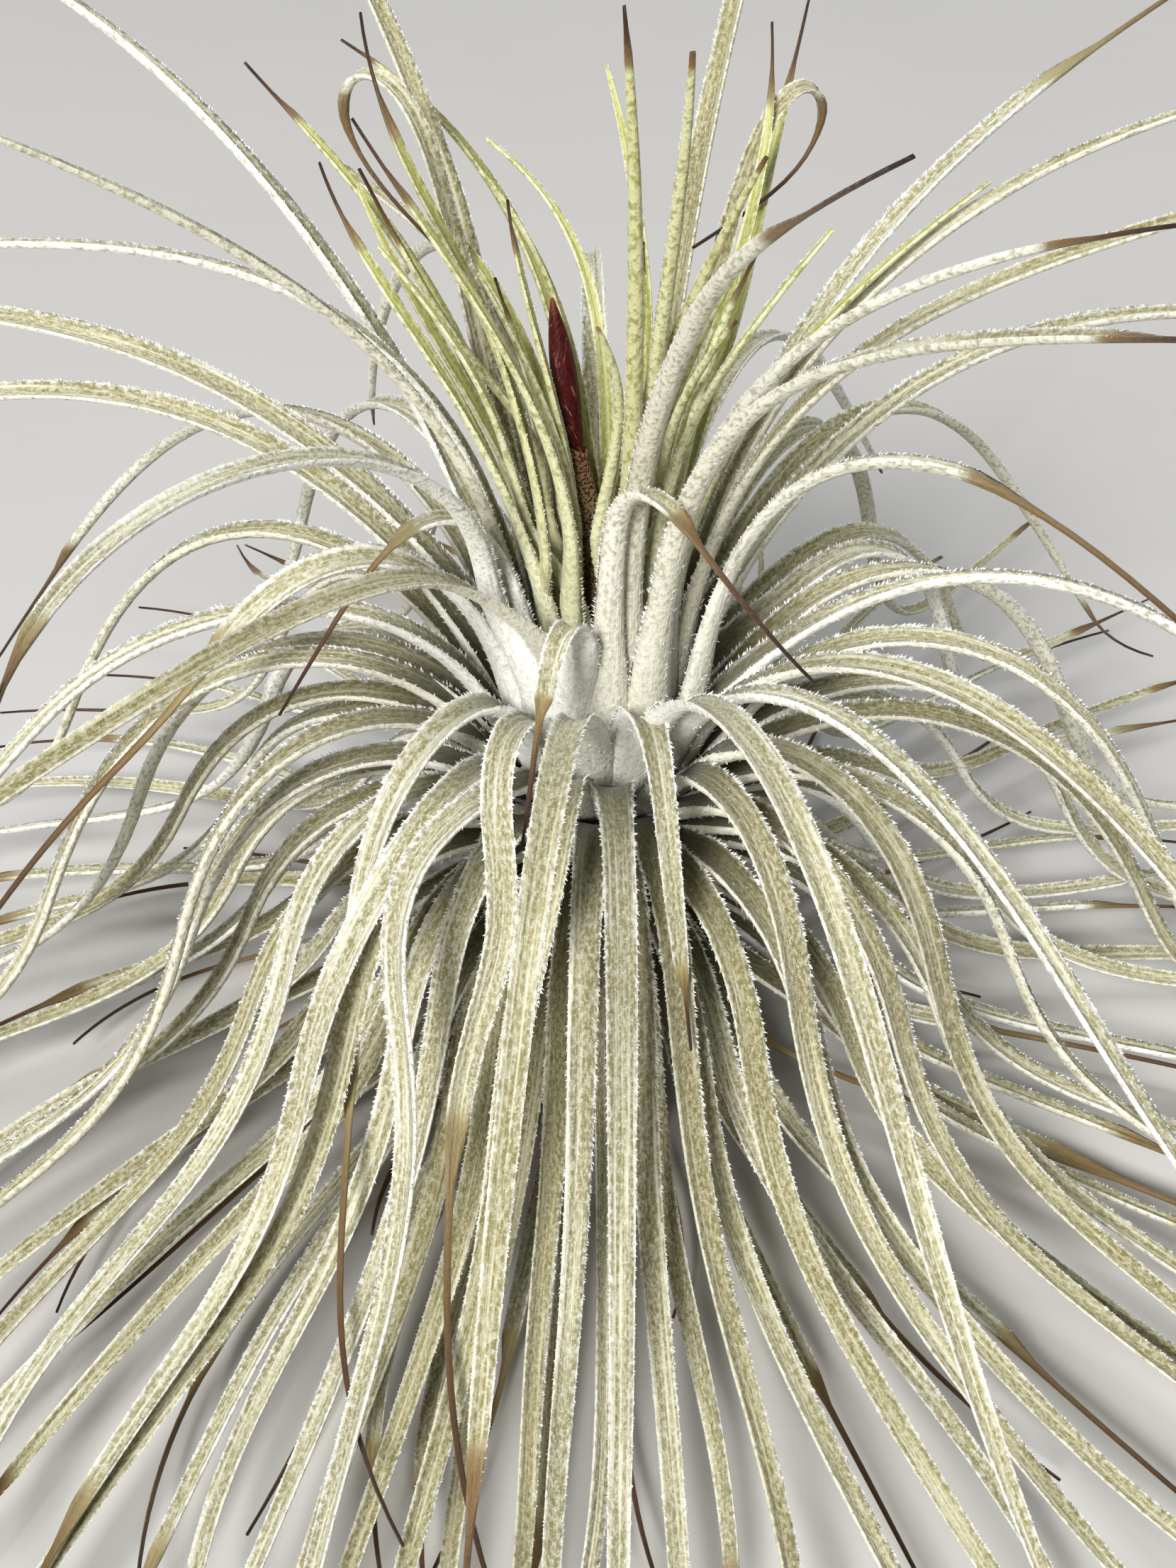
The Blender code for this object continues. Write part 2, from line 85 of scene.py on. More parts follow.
# The leaves that stand out, each in place of its whorl's nearest leaf:
# whorl, azimuth, launch, final, bend at, bend width, length, swing, curl, and where it dries.
STANDOUTS = (
    (10, 272, 87, -40, 0.60, 0.05, 57, 66, 0, 0.68),
    (10, 250, 84, -62, 0.50, 0.05, 42, 10, 0, 0.66),
    (11, 212, 76, -50, 0.55, 0.06, 50, 4, 0, 0.60),
    (11, 236, 66, -10, 0.30, 0.12, 104, -16, 0, 0.84),
    (10, 200, 74, -46, 0.30, 0.07, 90, 14, 0, 0.46),
    (9, 284, 86, -60, 0.30, 0.05, 44, -2, 0, 0.82),
    (9, 228, 78, -64, 0.16, 0.05, 96, 72, 0, 0.52),
    (9, 246, 80, -62, 0.15, 0.05, 104, 50, 0, 0.50),
    (9, 168, 62, -22, 0.35, 0.12, 112, 6, 0, 0.84),
    (9, 325, 60, -44, 0.25, 0.10, 112, -4, 0, 0.90),
    (11, 140, 75, -150, 0.72, 0.04, 85, 4, 0, 0.74),
    (11, 50, 75, -168, 0.74, 0.04, 80, -8, 0, 0.74),
    (10, 146, 66, 4, 0.50, 0.20, 122, 6, 0, 0.80),
    (10, 122, 74, 30, 0.50, 0.20, 104, 6, 0, 0.90),
    (10, 172, 62, -8, 0.36, 0.14, 114, 4, 0, 0.84),
    (10, 70, 74, 40, 0.50, 0.20, 118, -12, 0, 0.80),
    (10, 44, 66, 14, 0.30, 0.12, 122, -10, 0, 0.60),
    (10, 20, 64, -16, 0.34, 0.12, 112, -6, 0, 0.72),
    (10, 338, 82, -36, 0.32, 0.07, 112, -4, 0, 0.40),
    (9, 350, 56, -52, 0.32, 0.12, 112, -16, 0, 0.92),
    (7, 232, 50, -82, 0.16, 0.06, 118, 22, 0, 0.86),
    (7, 336, 34, -80, 0.20, 0.09, 104, -24, 0, 0.90),
    (7, 353, 40, -70, 0.24, 0.10, 108, -16, 0, 0.88),
    (2, 334, -20, -60, 0.30, 0.10, 104, -8, -150, 0.45),
)

# The solid leaf's cross-section, which the clearing of leaves from each other reads.
THICKNESS = 0.62 * MM
ROOT_CHANNEL, BLADE_CHANNEL = 0.10, 0.26
WIDTH_PLACES = (0, 0.3, 0.8, 1)
WIDTH_PARTS = (1.05, 0.92, 0.5, 0.2)
FLARE_END = 0.16
SHEATH = 9 * MM
STATIONS = 8
BEND_SHARE, LEAST_TURN = 0.6, 0.5
STEPS = 60

# Leaves that reach the surface ease onto it and lie along it.
FLOOR_EASE = 8 * MM
FLOOR_GAP, REST_LAYER, REST_STRAY = 0.9 * MM, 0.09 * MM, 0.6 * MM

# Leaves that would touch are bent clear of each other, and of the flower spike.
CLEAR_WIDTH, CLEAR_THICKNESS = 0.5 * MM, 0.4 * MM
PUSH, PUSH_REACH = 0.35 * MM, 13 * MM
HELD_ROOT, FREE_FROM = 6 * MM, 16 * MM
SHARED_ROOT = 16 * MM
NEAR_PARALLEL, NEAR_MIDDLE = 0.35, 0.2 * MM
MOST_PASSES = 120

FOOT_RADIUS = 6.0 * MM
STEM_INSET = 1.2 * MM
STEM_TOP = 50.3 * MM
SPIKE_FOOT, SPIKE_TIP = (0.0, 0.0, 50.6), (-4.6, 2.6, 84.0)
SPIKE_CLEARANCE = 2.9 * MM

# The spike's two rolled bracts: where each starts and ends along it, and its radius at five places.
SHEATH_SPAN, SHEATH_RADII = (0.0, 0.60), (0.85, 1.35, 1.45, 1.25, 1.0)
BRACT_SPAN, BRACT_RADII = (0.52, 1.0), (0.6, 0.95, 1.15, 0.9, 0.12)
ROLL_STEP, ROLL_RINGS, ROLL_SIDES = 0.16, 48, 40
ROLL_START, WANDER, WANDER_OVER = 3.9, 0.5, 5 * MM
RIBS, RIB_DEPTH = 14, 0.018
MOUTH_RINGS, MOUTH_DEPTH, LIP_RISE = 3, 1.0 * MM, 0.9 * MM

# Dry sheath scales lie round the stem in rows, each leaning a little off it.
SCALE_ROWS, SCALES_ROUND = 10, 9
SCALE_HEIGHT, SCALE_THICKNESS, SCALE_LEAN = 7.0 * MM, 0.18 * MM, 0.5 * MM
SCALE_PANELS = 6
SCALE_OVERLAP = 1.45

# The fine leaf: rings along it, each of PANELS parts across its upper face and as many below.
RINGS, PANELS = 42, 6
BELOW_ROOT = 3.0 * MM
FINE_BEND_SHARE = 0.35
ARC = math.radians(68)
FINE_FLARE_END = 20 * MM
ROLL_FREE_AFTER = 20 * MM
DEPTH_PLACES = (0, 0.16, 0.8, 1)
DEPTH_PARTS = (0.15, 0.31, 0.40, 0.40)
THICK_PLACES = (0, 0.6, 1)
THICK_PARTS = (1.0, 0.85, 0.5)
BASE_BULGE, BASE_REACH = 0.75 * MM, 12 * MM
STAGGER, STAGGER_REACH = 0.45 * MM, 14 * MM
ROLL_STRAY = math.radians(30)
# A dry tip narrows to SHRIVEL of its width, over these parts of the leaf's length, and starts DRY_FROM dry.
SHRIVEL, SHRIVEL_OVER, DRY_BLEND = 0.30, 0.07, 0.03
DRY_FROM = 0.12

# Hairs for each millimetre of a margin, and for each square millimetre of a leaf's back and upper face.
FRINGE, BACK_FUR, FACE_FUR = 5.2, 0.75, 0.08
# More of them stand near the root: how many more, and within how many millimetres.
FRINGE_ALL_ALONG, FRINGE_AT_ROOT, FRINGE_REACH = 0.85, 0.45, 30
BACK_AT_ROOT, BACK_REACH = 2.4, 16
FIRST_HAIR = 0.2
FRINGE_SCATTER, FUR_MARGIN, FACE_MARGIN = 0.16, 0.3, 0.5

# The kinds of hair, and rows with a value for each: the fringe's, the back's and the upper face's.
FRINGE_HAIR, BACK_HAIR = 0, 1
HAIR_LIFT = ((30, 78), (10, 34), (4, 18))
HAIR_SPREAD = (0.35, 0.6, 0.6)
HAIR_PARTS = (1.0, 1.25, 0.8)
HAIR_WIDTH = (0.17 * MM, 0.18 * MM, 0.18 * MM)
HAIR_UPPER, HAIR_EDGE = (0.5, 0.0, 1.0), (1.0, 0.3, 0.3)
HAIR_MAP_COLUMN = (0.8, 0.5, 0.2)

HAIR_LENGTH, HAIR_LENGTH_STRAY, HAIR_DEPTH = 0.28 * MM, (0.45, 1.45), 0.05 * MM
HAIR_ALL_ALONG, HAIR_AT_ROOT, HAIR_REACH = 0.8, 0.7, 22 * MM
# A hair is shorter on a leaf narrower than FULL_HAIR_WIDTH, and thinner where it is under FULL_HAIR_LENGTH.
FULL_HAIR_WIDTH, FULL_HAIR_LENGTH, HAIR_ROOT_DEPTH = 2.4 * MM, 0.4 * MM, 0.03 * MM
HAIR_WIDTH_LIMITS, HAIR_SIZE_LIMITS = (0.45, 1.1), (0.6, 1.2)

# Each leaf has a column of the baking map, with its hairs in a band beside it.
HAIR_BAND, COLUMN_MARGIN, MAP_MARGIN, MAP_TICK, CAP_SIZE = 0.16, 0.01, 0.004, 0.0012, 0.002
# The materials' patterns start this far apart from leaf to leaf.
PATTERN_STEP = 7.3
# No fine leaf or hair is lower than this.
ABOVE_FLOOR = 0.02 * MM

# The photograph's viewing angle: where the camera looks, from how high and far, and its lens in pixels.
CAMERA_TARGET, CAMERA_RISE, CAMERA_DISTANCE = (-0.0015, 0.0, 0.033), math.radians(38), 0.200
SENSOR_WIDTH, LENS_PIXELS, FRAME_HEIGHT = 36, 2800, 2212


def at(row, place):
    """A row's value at a place from 0 to 1."""
    return np.interp(place, np.linspace(0, 1, len(row)), row)


def plan_leaves():
    """The leaves' own dimensions, as arrays with one entry for each leaf."""
    whorl = np.repeat(np.arange(len(WHORL_LEAVES)), WHORL_LEAVES)
    place = whorl / (len(WHORL_LEAVES) - 1)
    stray = np.random.default_rng(SEED).uniform(-1, 1, (8, len(whorl)))
    azimuth = np.arange(len(whorl)) * GOLDEN_ANGLE % math.tau
    azimuth -= CROWD * np.sin(azimuth - CROWD_AT)
    young = whorl >= len(WHORL_LEAVES) - YOUNG_WHORLS
    aside = (azimuth - PARTING_AT + math.pi) % math.tau - math.pi
    azimuth += np.where(young, PARTING * np.sign(aside) * np.exp(-((aside / PARTING_REACH) ** 2)), 0)
    front = 0.5 * (1 + np.cos(azimuth - FRONT))
    droop = 1 - at(FRONT_DROOP, place) * front
    combed = -at(COMB, place) * np.cos(azimuth) * np.where(np.cos(azimuth) > 0, RIGHT_COMB, 1)
    leaning = YOUNG_COMB * np.sin(YOUNG_LEAN - azimuth)
    final = at(FINAL, place) + at(FRONT_FINAL, place) * front + FINAL_STRAY * stray[1]
    leaves = {
        "whorl": whorl,
        "azimuth": azimuth,
        "radius": at(ROOT_RADIUS, place) * MM,
        "height": at(ROOT_HEIGHT, place) * MM,
        "lean": np.radians(at(LAUNCH, place)),
        "launch": at(LAUNCH, place) + at(FRONT_LAUNCH, place) * front + LAUNCH_STRAY * stray[0],
        "final": np.maximum(final, STEEPEST),
        "bend_at": (at(BEND_AT, place) + BEND_AT_STRAY * stray[2]) * droop,
        "bend_width": at(BEND_WIDTH, place) * (1 + BEND_WIDTH_STRAY * stray[3]) * droop,
        "length": at(LENGTH, place) * (1 + LENGTH_STRAY * stray[4]) + at(FRONT_LENGTH, place) * front,
        "swing": np.where(young, leaning, combed) + SWING_STRAY * stray[5],
        "curl": CURL_STRAY * stray[7],
        "rest": FLOOR_GAP + REST_LAYER * np.arange(len(whorl)) + REST_STRAY * abs(stray[6]),
        "width": at(BLADE_WIDTH, place) * MM,
        "flare": at(ROOT_FLARE, place),
        "dries": plan_dry_tips(whorl),
    }
    names = ("launch", "final", "bend_at", "bend_width", "length", "swing", "curl", "dries")
    taken = np.zeros(len(whorl), bool)
    for home, degrees, *values in STANDOUTS:
        off = np.abs((azimuth - math.radians(degrees) + math.pi) % math.tau - math.pi)
        nearest = int(np.argmin(np.where((whorl == home) & ~taken, off, math.inf)))
        taken[nearest] = True
        leaves["azimuth"][nearest] = math.radians(degrees)
        for name, value in zip(names, values):
            leaves[name][nearest] = value
    for name in ("launch", "final", "swing", "curl"):
        leaves[name] = np.radians(leaves[name])
    leaves["length"] *= MM
    return leaves


def plan_dry_tips(whorl):
    """Where along each leaf its dry tip starts, as a part of its length."""
    draw = np.random.default_rng(SEED + 1).uniform(0, 1, len(whorl))
    place = whorl / (len(WHORL_LEAVES) - 1)
    return np.interp(place, (0, 0.1, 0.3, 0.75, 1), (0.1, 0.4, 0.72, 0.76, 0.86)) + 0.26 * draw


def turned(t, bend_at, bend_width):
    """How much of its bend a leaf has made at t: 0 at the root and 1 at the tip."""
    def logistic(x):
        return 1 / (1 + np.exp(-np.clip(x / bend_width, -40, 40)))
    low, high = logistic(-bend_at), logistic(1 - bend_at)
    return (logistic(t - bend_at) - low) / (high - low)


def centre_lines(leaves):
    """Each leaf's middle line as STEPS + 1 points, and the level direction across it at each point."""
    count = len(leaves["whorl"])
    points = np.zeros((count, STEPS + 1, 3))
    across = np.zeros((count, STEPS + 1, 3))
    points[:, 0, 0] = leaves["radius"] * np.cos(leaves["azimuth"])
    points[:, 0, 1] = leaves["radius"] * np.sin(leaves["azimuth"])
    points[:, 0, 2] = leaves["height"]
    step = leaves["length"] / STEPS
    for i in range(STEPS + 1):
        t = (i + 0.5) / STEPS
        free = np.clip(i * step / SHEATH, 0, 1)
        free = free**2 * (3 - 2 * free)
        curled = (max(t - CURL_FROM, 0) / (1 - CURL_FROM)) ** 1.5
        heading = leaves["azimuth"] + free * (leaves["swing"] * t**1.5 + leaves["curl"] * curled)
        across[:, i] = np.stack([-np.sin(heading), np.cos(heading), np.zeros(count)], 1)
        if i == STEPS:
            break
        bend = turned(t, leaves["bend_at"], leaves["bend_width"])
        rise = leaves["launch"] + (leaves["final"] - leaves["launch"]) * bend
        rise = leaves["lean"] + (rise - leaves["lean"]) * free
        above = np.maximum(points[:, i, 2] - leaves["rest"], 0)
        rise = np.where(np.cos(rise) > 0, np.maximum(rise, -np.arctan2(above, FLOOR_EASE)), rise)
        level = np.cos(rise)
        along = np.stack([level * np.cos(heading), level * np.sin(heading), np.sin(rise)], 1)
        points[:, i + 1] = points[:, i] + along * step[:, None]
    return points, across


def unit(vectors):
    return vectors / np.linalg.norm(vectors, axis=-1, keepdims=True)


def frames(points, across):
    """The direction across the leaf and the direction that its channel faces, at each point."""
    along = unit(np.gradient(points, axis=1))
    side = unit(across - (across * along).sum(-1, keepdims=True) * along)
    return side, np.cross(along, side)


def station_places(points, stations=STATIONS, bend_share=BEND_SHARE):
    """For each leaf, the places along it from 0 to STEPS of its stations, closer where it bends."""
    along = unit(np.diff(points, axis=1))
    turn = np.arccos(np.clip((along[:, 1:] * along[:, :-1]).sum(-1), -1, 1))
    turn = np.pad(turn, ((0, 0), (1, 0)))
    share = turn / np.maximum(turn.sum(1, keepdims=True), LEAST_TURN)
    weight = 1 / STEPS + bend_share * share
    travelled = np.pad(np.cumsum(weight, 1), ((0, 0), (1, 0)))
    wanted = np.linspace(0, 1, stations)
    steps = np.arange(STEPS + 1)
    return np.array([np.interp(wanted * row[-1], row, steps) for row in travelled])


def sample(values, places):
    """Values along each leaf, read between its points at these places."""
    low = np.minimum(places.astype(int), STEPS - 1)
    part = (places - low)[..., None]
    rows = np.arange(len(values))[:, None]
    return values[rows, low] * (1 - part) + values[rows, low + 1] * part


def leaf_rings(leaves, points, across, places, more_width=0.0, more_thickness=0.0):
    """The corners of each leaf's cross-section at these places: margin, keel, margin, channel."""
    side, face = (unit(sample(v, places)) for v in frames(points, across))
    middle = sample(points, places)
    t = places / STEPS
    clear_of_root = np.clip(t * leaves["length"][:, None] / FREE_FROM, 0, 1)
    flare = 1 + (leaves["flare"][:, None] - 1) * np.clip(1 - t / FLARE_END, 0, 1)
    width = leaves["width"][:, None] * np.interp(t, WIDTH_PLACES, WIDTH_PARTS) * flare
    channel = width * np.interp(t, (0, FLARE_END), (ROOT_CHANNEL, BLADE_CHANNEL))
    width += more_width * clear_of_root
    thickness = THICKNESS + more_thickness * clear_of_root
    corners = []
    for x, y, z in ((-0.5, 1, 0), (0, 0, -0.5), (0.5, 1, 0), (0, 0, 0.5)):
        out = side * (width * x)[..., None] + face * (channel * y + thickness * z)[..., None]
        corners.append(middle + out)
    return np.stack(corners, 2)


def ring_triangles(stations):
    """A tube of four-cornered rings with closed ends, split alike on its upper and lower faces."""
    faces = []
    for s in range(stations - 1):
        for c in range(4):
            a, b = 4 * s + c, 4 * s + (c + 1) % 4
            if c % 2:
                faces += [(a, b, a + 4), (b, b + 4, a + 4)]
            else:
                faces += [(a, b, b + 4), (a, b + 4, a + 4)]
    end = 4 * (stations - 1)
    caps = [(0, 3, 1), (1, 3, 2), (end, end + 1, end + 3), (end + 1, end + 2, end + 3)]
    return np.array(faces + caps)


def crossings(rings):
    """(leaf, station, leaf, station) for each pair of leaves that touch, at the middle of where they do."""
    faces = ring_triangles(STATIONS)
    corners_each = STATIONS * 4
    every = (faces[None] + (np.arange(len(rings)) * corners_each)[:, None, None]).reshape(-1, 3)
    tree = BVHTree.FromPolygons(rings.reshape(-1, 3).tolist(), every.tolist(), all_triangles=True)
    pairs = np.array(tree.overlap(tree))
    leaf, face = pairs // len(faces), pairs % len(faces)
    station = faces[face].mean(-1) / 4
    keep = leaf[:, 0] < leaf[:, 1]
    leaf, station = leaf[keep], station[keep]
    found = []
    for a, b in np.unique(leaf, axis=0):
        here = (leaf[:, 0] == a) & (leaf[:, 1] == b)
        found.append((a, station[here, 0].mean(), b, station[here, 1].mean()))
    return found


def clear_spike(points, free):
    """Bends leaves out of the flower spike's way."""
    foot, tip = np.array(SPIKE_FOOT) * MM, np.array(SPIKE_TIP) * MM
    axis = tip - foot
    part = np.clip(((points - foot) @ axis) / (axis @ axis), 0, 1)
    away = points - (foot + part[..., None] * axis)
    distance = np.linalg.norm(away, axis=-1)
    short = np.maximum(SPIKE_CLEARANCE - distance, 0) * free
    return points + away * (short / np.maximum(distance, 0.1 * MM))[..., None]


def bend_clear(leaves, points, across):
    """Bends leaves that touch apart, square to both, with their roots held."""
    arc = np.linspace(0, 1, STEPS + 1)[None] * leaves["length"][:, None]
    free = np.clip((arc - HELD_ROOT) / (FREE_FROM - HELD_ROOT), 0, 1)
    for _ in range(MOST_PASSES):
        points = clear_spike(points, free)
        places = station_places(points)
        rings = leaf_rings(leaves, points, across, places, CLEAR_WIDTH, CLEAR_THICKNESS)
        along = unit(np.gradient(points, axis=1))
        face = frames(points, across)[1]
        touching = 0
        for a, station_a, b, station_b in crossings(rings):
            ia = int(round(np.interp(station_a, np.arange(STATIONS), places[a])))
            ib = int(round(np.interp(station_b, np.arange(STATIONS), places[b])))
            near_root = arc[a, ia] < SHARED_ROOT and arc[b, ib] < SHARED_ROOT
            if near_root and leaves["whorl"][a] == leaves["whorl"][b]:
                continue
            touching += 1
            square = np.cross(along[a, ia], along[b, ib])
            if np.linalg.norm(square) < NEAR_PARALLEL:
                square = face[a, ia] + face[b, ib]
            square /= max(np.linalg.norm(square), 1e-6)
            apart = (points[a, ia] - points[b, ib]) @ square
            if abs(apart) < NEAR_MIDDLE:
                apart = -(square @ (face[a, ia] + face[b, ib]))
            square *= math.copysign(PUSH, apart)
            for leaf, i, way in ((a, ia, 1), (b, ib, -1)):
                share = np.exp(-(((arc[leaf] - arc[leaf, i]) / PUSH_REACH) ** 2)) * free[leaf]
                points[leaf] += way * share[:, None] * square
        points[..., 2] += np.maximum(FLOOR_GAP - points[..., 2], 0)
        if not touching:
            break
    return points


def smooth_step(x):
    x = np.clip(x, 0, 1)
    return x * x * (3 - 2 * x)


def sample_smoothly(values, places):
    """Values along each leaf, read at these places from a smooth curve through its points."""
    low = np.minimum(places.astype(int), STEPS - 1)
    t = (places - low)[..., None]
    rows = np.arange(len(values))[:, None]
    before, after = values[rows, np.maximum(low - 1, 0)], values[rows, np.minimum(low + 2, STEPS)]
    start, end = values[rows, low], values[rows, low + 1]
    return 0.5 * (
        2 * start
        + (end - before) * t
        + (2 * before - 5 * start + 4 * end - after) * t**2
        + (3 * start - before - 3 * end + after) * t**3
    )


def fine_leaves(leaves, points, across):
    """Each leaf as rings of points, with what its surface is like at each one."""
    draws = np.random.default_rng(SEED + 2)
    count = len(leaves["whorl"])
    places = station_places(points, RINGS - 1, FINE_BEND_SHARE)
    middle = sample_smoothly(points, places)
    side, face = (unit(sample_smoothly(v, places)) for v in frames(points, across))
    first = unit(points[:, 1] - points[:, 0])
    middle = np.concatenate([(middle[:, 0] - first * BELOW_ROOT)[:, None], middle], 1)
    side, face = (np.concatenate([v[:, :1], v], 1) for v in (side, face))
    places = np.concatenate([-np.ones((count, 1)), places], 1)
    t = np.maximum(places, 0) / STEPS
    arc = t * leaves["length"][:, None]
    arc[:, 0] = -BELOW_ROOT

    same_whorl = leaves["whorl"][:, None] == leaves["whorl"][None]
    before = (np.arange(count)[:, None] > np.arange(count)[None]) & same_whorl
    rank = before.sum(1) / np.maximum(same_whorl.sum(1) - 1, 1)
    outward = unit(points[:, 0] * (1, 1, 0))
    stagger = STAGGER * (0.5 - rank)[:, None] * (1 - smooth_step(arc / STAGGER_REACH))
    middle = middle + outward[:, None] * stagger[..., None]

    roll = draws.uniform(-1, 1, (count, 1)) * ROLL_STRAY * smooth_step((arc - FREE_FROM) / ROLL_FREE_AFTER)
    cos, sin = np.cos(roll)[..., None], np.sin(roll)[..., None]
    side, face = side * cos + face * sin, face * cos - side * sin

    flare = 1 + (leaves["flare"][:, None] - 1) * (1 - smooth_step(arc / FINE_FLARE_END))
    width = leaves["width"][:, None] * np.interp(t, WIDTH_PLACES, WIDTH_PARTS) * flare
    past_green = t - leaves["dries"][:, None]
    dry = smooth_step(past_green / DRY_BLEND) * smooth_step(past_green / SHRIVEL_OVER)
    width *= 1 - (1 - SHRIVEL) * dry
    depth = width * np.interp(t, DEPTH_PLACES, DEPTH_PARTS)
    thickness = THICKNESS * np.interp(t, THICK_PLACES, THICK_PARTS)
    bulge = BASE_BULGE * np.exp(-((np.maximum(arc, 0) / BASE_REACH) ** 2))

    across_parts = np.linspace(-1, 1, PANELS + 1)
    around = [(u, 1) for u in across_parts] + [(u, -1) for u in across_parts[-2:0:-1]]
    rings, upper, edge, lateral = [], [], [], []
    for u, way in around:
        x = 0.5 * width * math.sin(u * ARC) / math.sin(ARC)
        y = depth * (1 - math.cos(u * ARC)) / (1 - math.cos(ARC))
        slope = np.stack([0.5 * width * math.cos(u * ARC) / math.sin(ARC),
                          depth * math.sin(u * ARC) / (1 - math.cos(ARC))], -1)
        slope /= np.linalg.norm(slope, axis=-1, keepdims=True)
        half = thickness / 2 * (1 - abs(u) ** 3)
        if way < 0:
            half = half + bulge * (1 - u * u)
        x = x - way * slope[..., 1] * half
        y = y + way * slope[..., 0] * half
        rings.append(middle + side * x[..., None] + face * y[..., None])
        upper.append(0.5 if abs(u) > 0.99 else (way > 0) * 1.0)
        edge.append(abs(u))
        lateral.append(0.5 * width * u)
    return {
        "rings": np.stack(rings, 2),
        "arc": arc,
        "t": t,
        "upper": np.array(upper),
        "edge": np.array(edge),
        "lateral": np.stack(lateral, 2),
        "middle": middle,
        "width": width,
    }


def ring_normals(rings, middle):
    """Outward directions at each ring point."""
    along = np.gradient(rings, axis=0)
    turn = np.roll(rings, -1, axis=1) - np.roll(rings, 1, axis=1)
    normals = np.cross(turn, along)
    normals /= np.maximum(np.linalg.norm(normals, axis=-1, keepdims=True), 1e-12)
    outward = ((rings - middle[:, None]) * normals).sum()
    return normals if outward > 0 else -normals


def between(values, ring, corner):
    """Values of a leaf's grid, read at parts of rings and of corners."""
    low, left = ring.astype(int), corner.astype(int)
    low = np.minimum(low, len(values) - 2)
    up, over = (ring - low)[:, None], (corner - left)[:, None]
    corners = values.shape[1]
    left, right = left % corners, (left + 1) % corners
    lower = values[low, left] * (1 - over) + values[low, right] * over
    upper = values[low + 1, left] * (1 - over) + values[low + 1, right] * over
    return lower * (1 - up) + upper * up


def leaf_hairs(fine, leaf, length, dries, draws):
    """A leaf's hairs: the ring and corner where each is rooted, and its kind."""
    corners = 2 * PANELS
    arc = fine["arc"][leaf] / MM
    from_root = np.maximum(arc, 0)
    furred = min(dries, 1.0) * length / MM
    width = fine["width"][leaf] / MM
    weights = (
        2 * FRINGE * (FRINGE_ALL_ALONG + FRINGE_AT_ROOT * np.exp(-from_root / FRINGE_REACH)),
        BACK_FUR * (1 + BACK_AT_ROOT * np.exp(-from_root / BACK_REACH)) * width,
        FACE_FUR * width,
    )
    found = []
    for kind, weight in enumerate(weights):
        weight = np.where((arc > FIRST_HAIR) & (arc < furred), weight, 0)
        amount = np.concatenate([[0], np.cumsum(0.5 * (weight[1:] + weight[:-1]) * np.diff(arc))])
        count = int(amount[-1])
        ring = np.interp(draws.uniform(0, amount[-1], count), amount, np.arange(RINGS))
        if kind == FRINGE_HAIR:
            corner = draws.choice([0.0, PANELS], count) + draws.normal(0, FRINGE_SCATTER, count)
        elif kind == BACK_HAIR:
            corner = PANELS + FUR_MARGIN + draws.uniform(0, PANELS - 2 * FUR_MARGIN, count)
        else:
            corner = FACE_MARGIN + draws.uniform(0, PANELS - 2 * FACE_MARGIN, count)
        found.append((ring, corner % corners, np.full(count, kind)))
    return (np.concatenate(part) for part in zip(*found))


def make_hairs(fine, leaf, leaves, draws):
    """Corner points of a leaf's hairs, four to a hair, and where each is rooted and its kind."""
    rings, middle = fine["rings"][leaf], fine["middle"][leaf]
    normals = ring_normals(rings, middle)
    along = unit(np.gradient(middle, axis=0))
    ring, corner, kind = leaf_hairs(fine, leaf, leaves["length"][leaf], leaves["dries"][leaf], draws)
    count = len(ring)
    root = between(rings, ring, corner)
    normal = unit(between(normals, ring, corner))
    forward = unit(between(along[:, None].repeat(2 * PANELS, 1), ring, corner))
    sideways = np.cross(forward, normal)
    lift = np.radians(np.choose(kind, [draws.uniform(*limits, count) for limits in HAIR_LIFT]))[:, None]
    spread = draws.normal(0, np.array(HAIR_SPREAD)[kind], count)[:, None]
    level = forward * np.cos(spread) + sideways * np.sin(spread)
    towards = unit(normal * np.sin(lift) + level * np.cos(lift))

    arc = np.interp(ring, np.arange(RINGS), fine["arc"][leaf])
    width = np.interp(ring, np.arange(RINGS), fine["width"][leaf])
    near_root = np.exp(-arc / HAIR_REACH)
    length = HAIR_LENGTH * draws.uniform(*HAIR_LENGTH_STRAY, count)
    length *= (HAIR_ALL_ALONG + HAIR_AT_ROOT * near_root) * np.array(HAIR_PARTS)[kind]
    length *= np.clip(width / FULL_HAIR_WIDTH, *HAIR_WIDTH_LIMITS)

    # A hair of the fringe is flat along the margin, and any other lies flat on the leaf.
    beside = forward - (forward * towards).sum(-1, keepdims=True) * towards
    flat = unit(np.where((kind == FRINGE_HAIR)[:, None], beside, np.cross(towards, normal)))
    size = np.clip(length / FULL_HAIR_LENGTH, *HAIR_SIZE_LIMITS)
    wide = (np.array(HAIR_WIDTH)[kind] / 2 * size)[:, None] * flat
    deep = (HAIR_DEPTH * size)[:, None] * np.cross(flat, towards)
    base = root - normal * HAIR_ROOT_DEPTH
    points = np.stack([base - wide, base + wide, base + deep, base + towards * length[:, None]], 1)
    return points, ring, corner, kind


def tube_faces(rings, corners, first=0):
    """The quads round a tube, its two end caps, and the number of corners of each face."""
    ring = np.arange(rings - 1)[:, None] * corners
    corner = np.arange(corners)[None]
    a, b = ring + corner, ring + (corner + 1) % corners
    quads = np.stack([a, b, b + corners, a + corners], -1).ravel()
    last = (rings - 1) * corners
    foot, tip = np.arange(corners - 1, -1, -1), np.arange(last, last + corners)
    loops = first + np.concatenate([quads, foot, tip])
    return loops, np.concatenate([np.full(len(quads) // 4, 4), np.full(2, corners)])


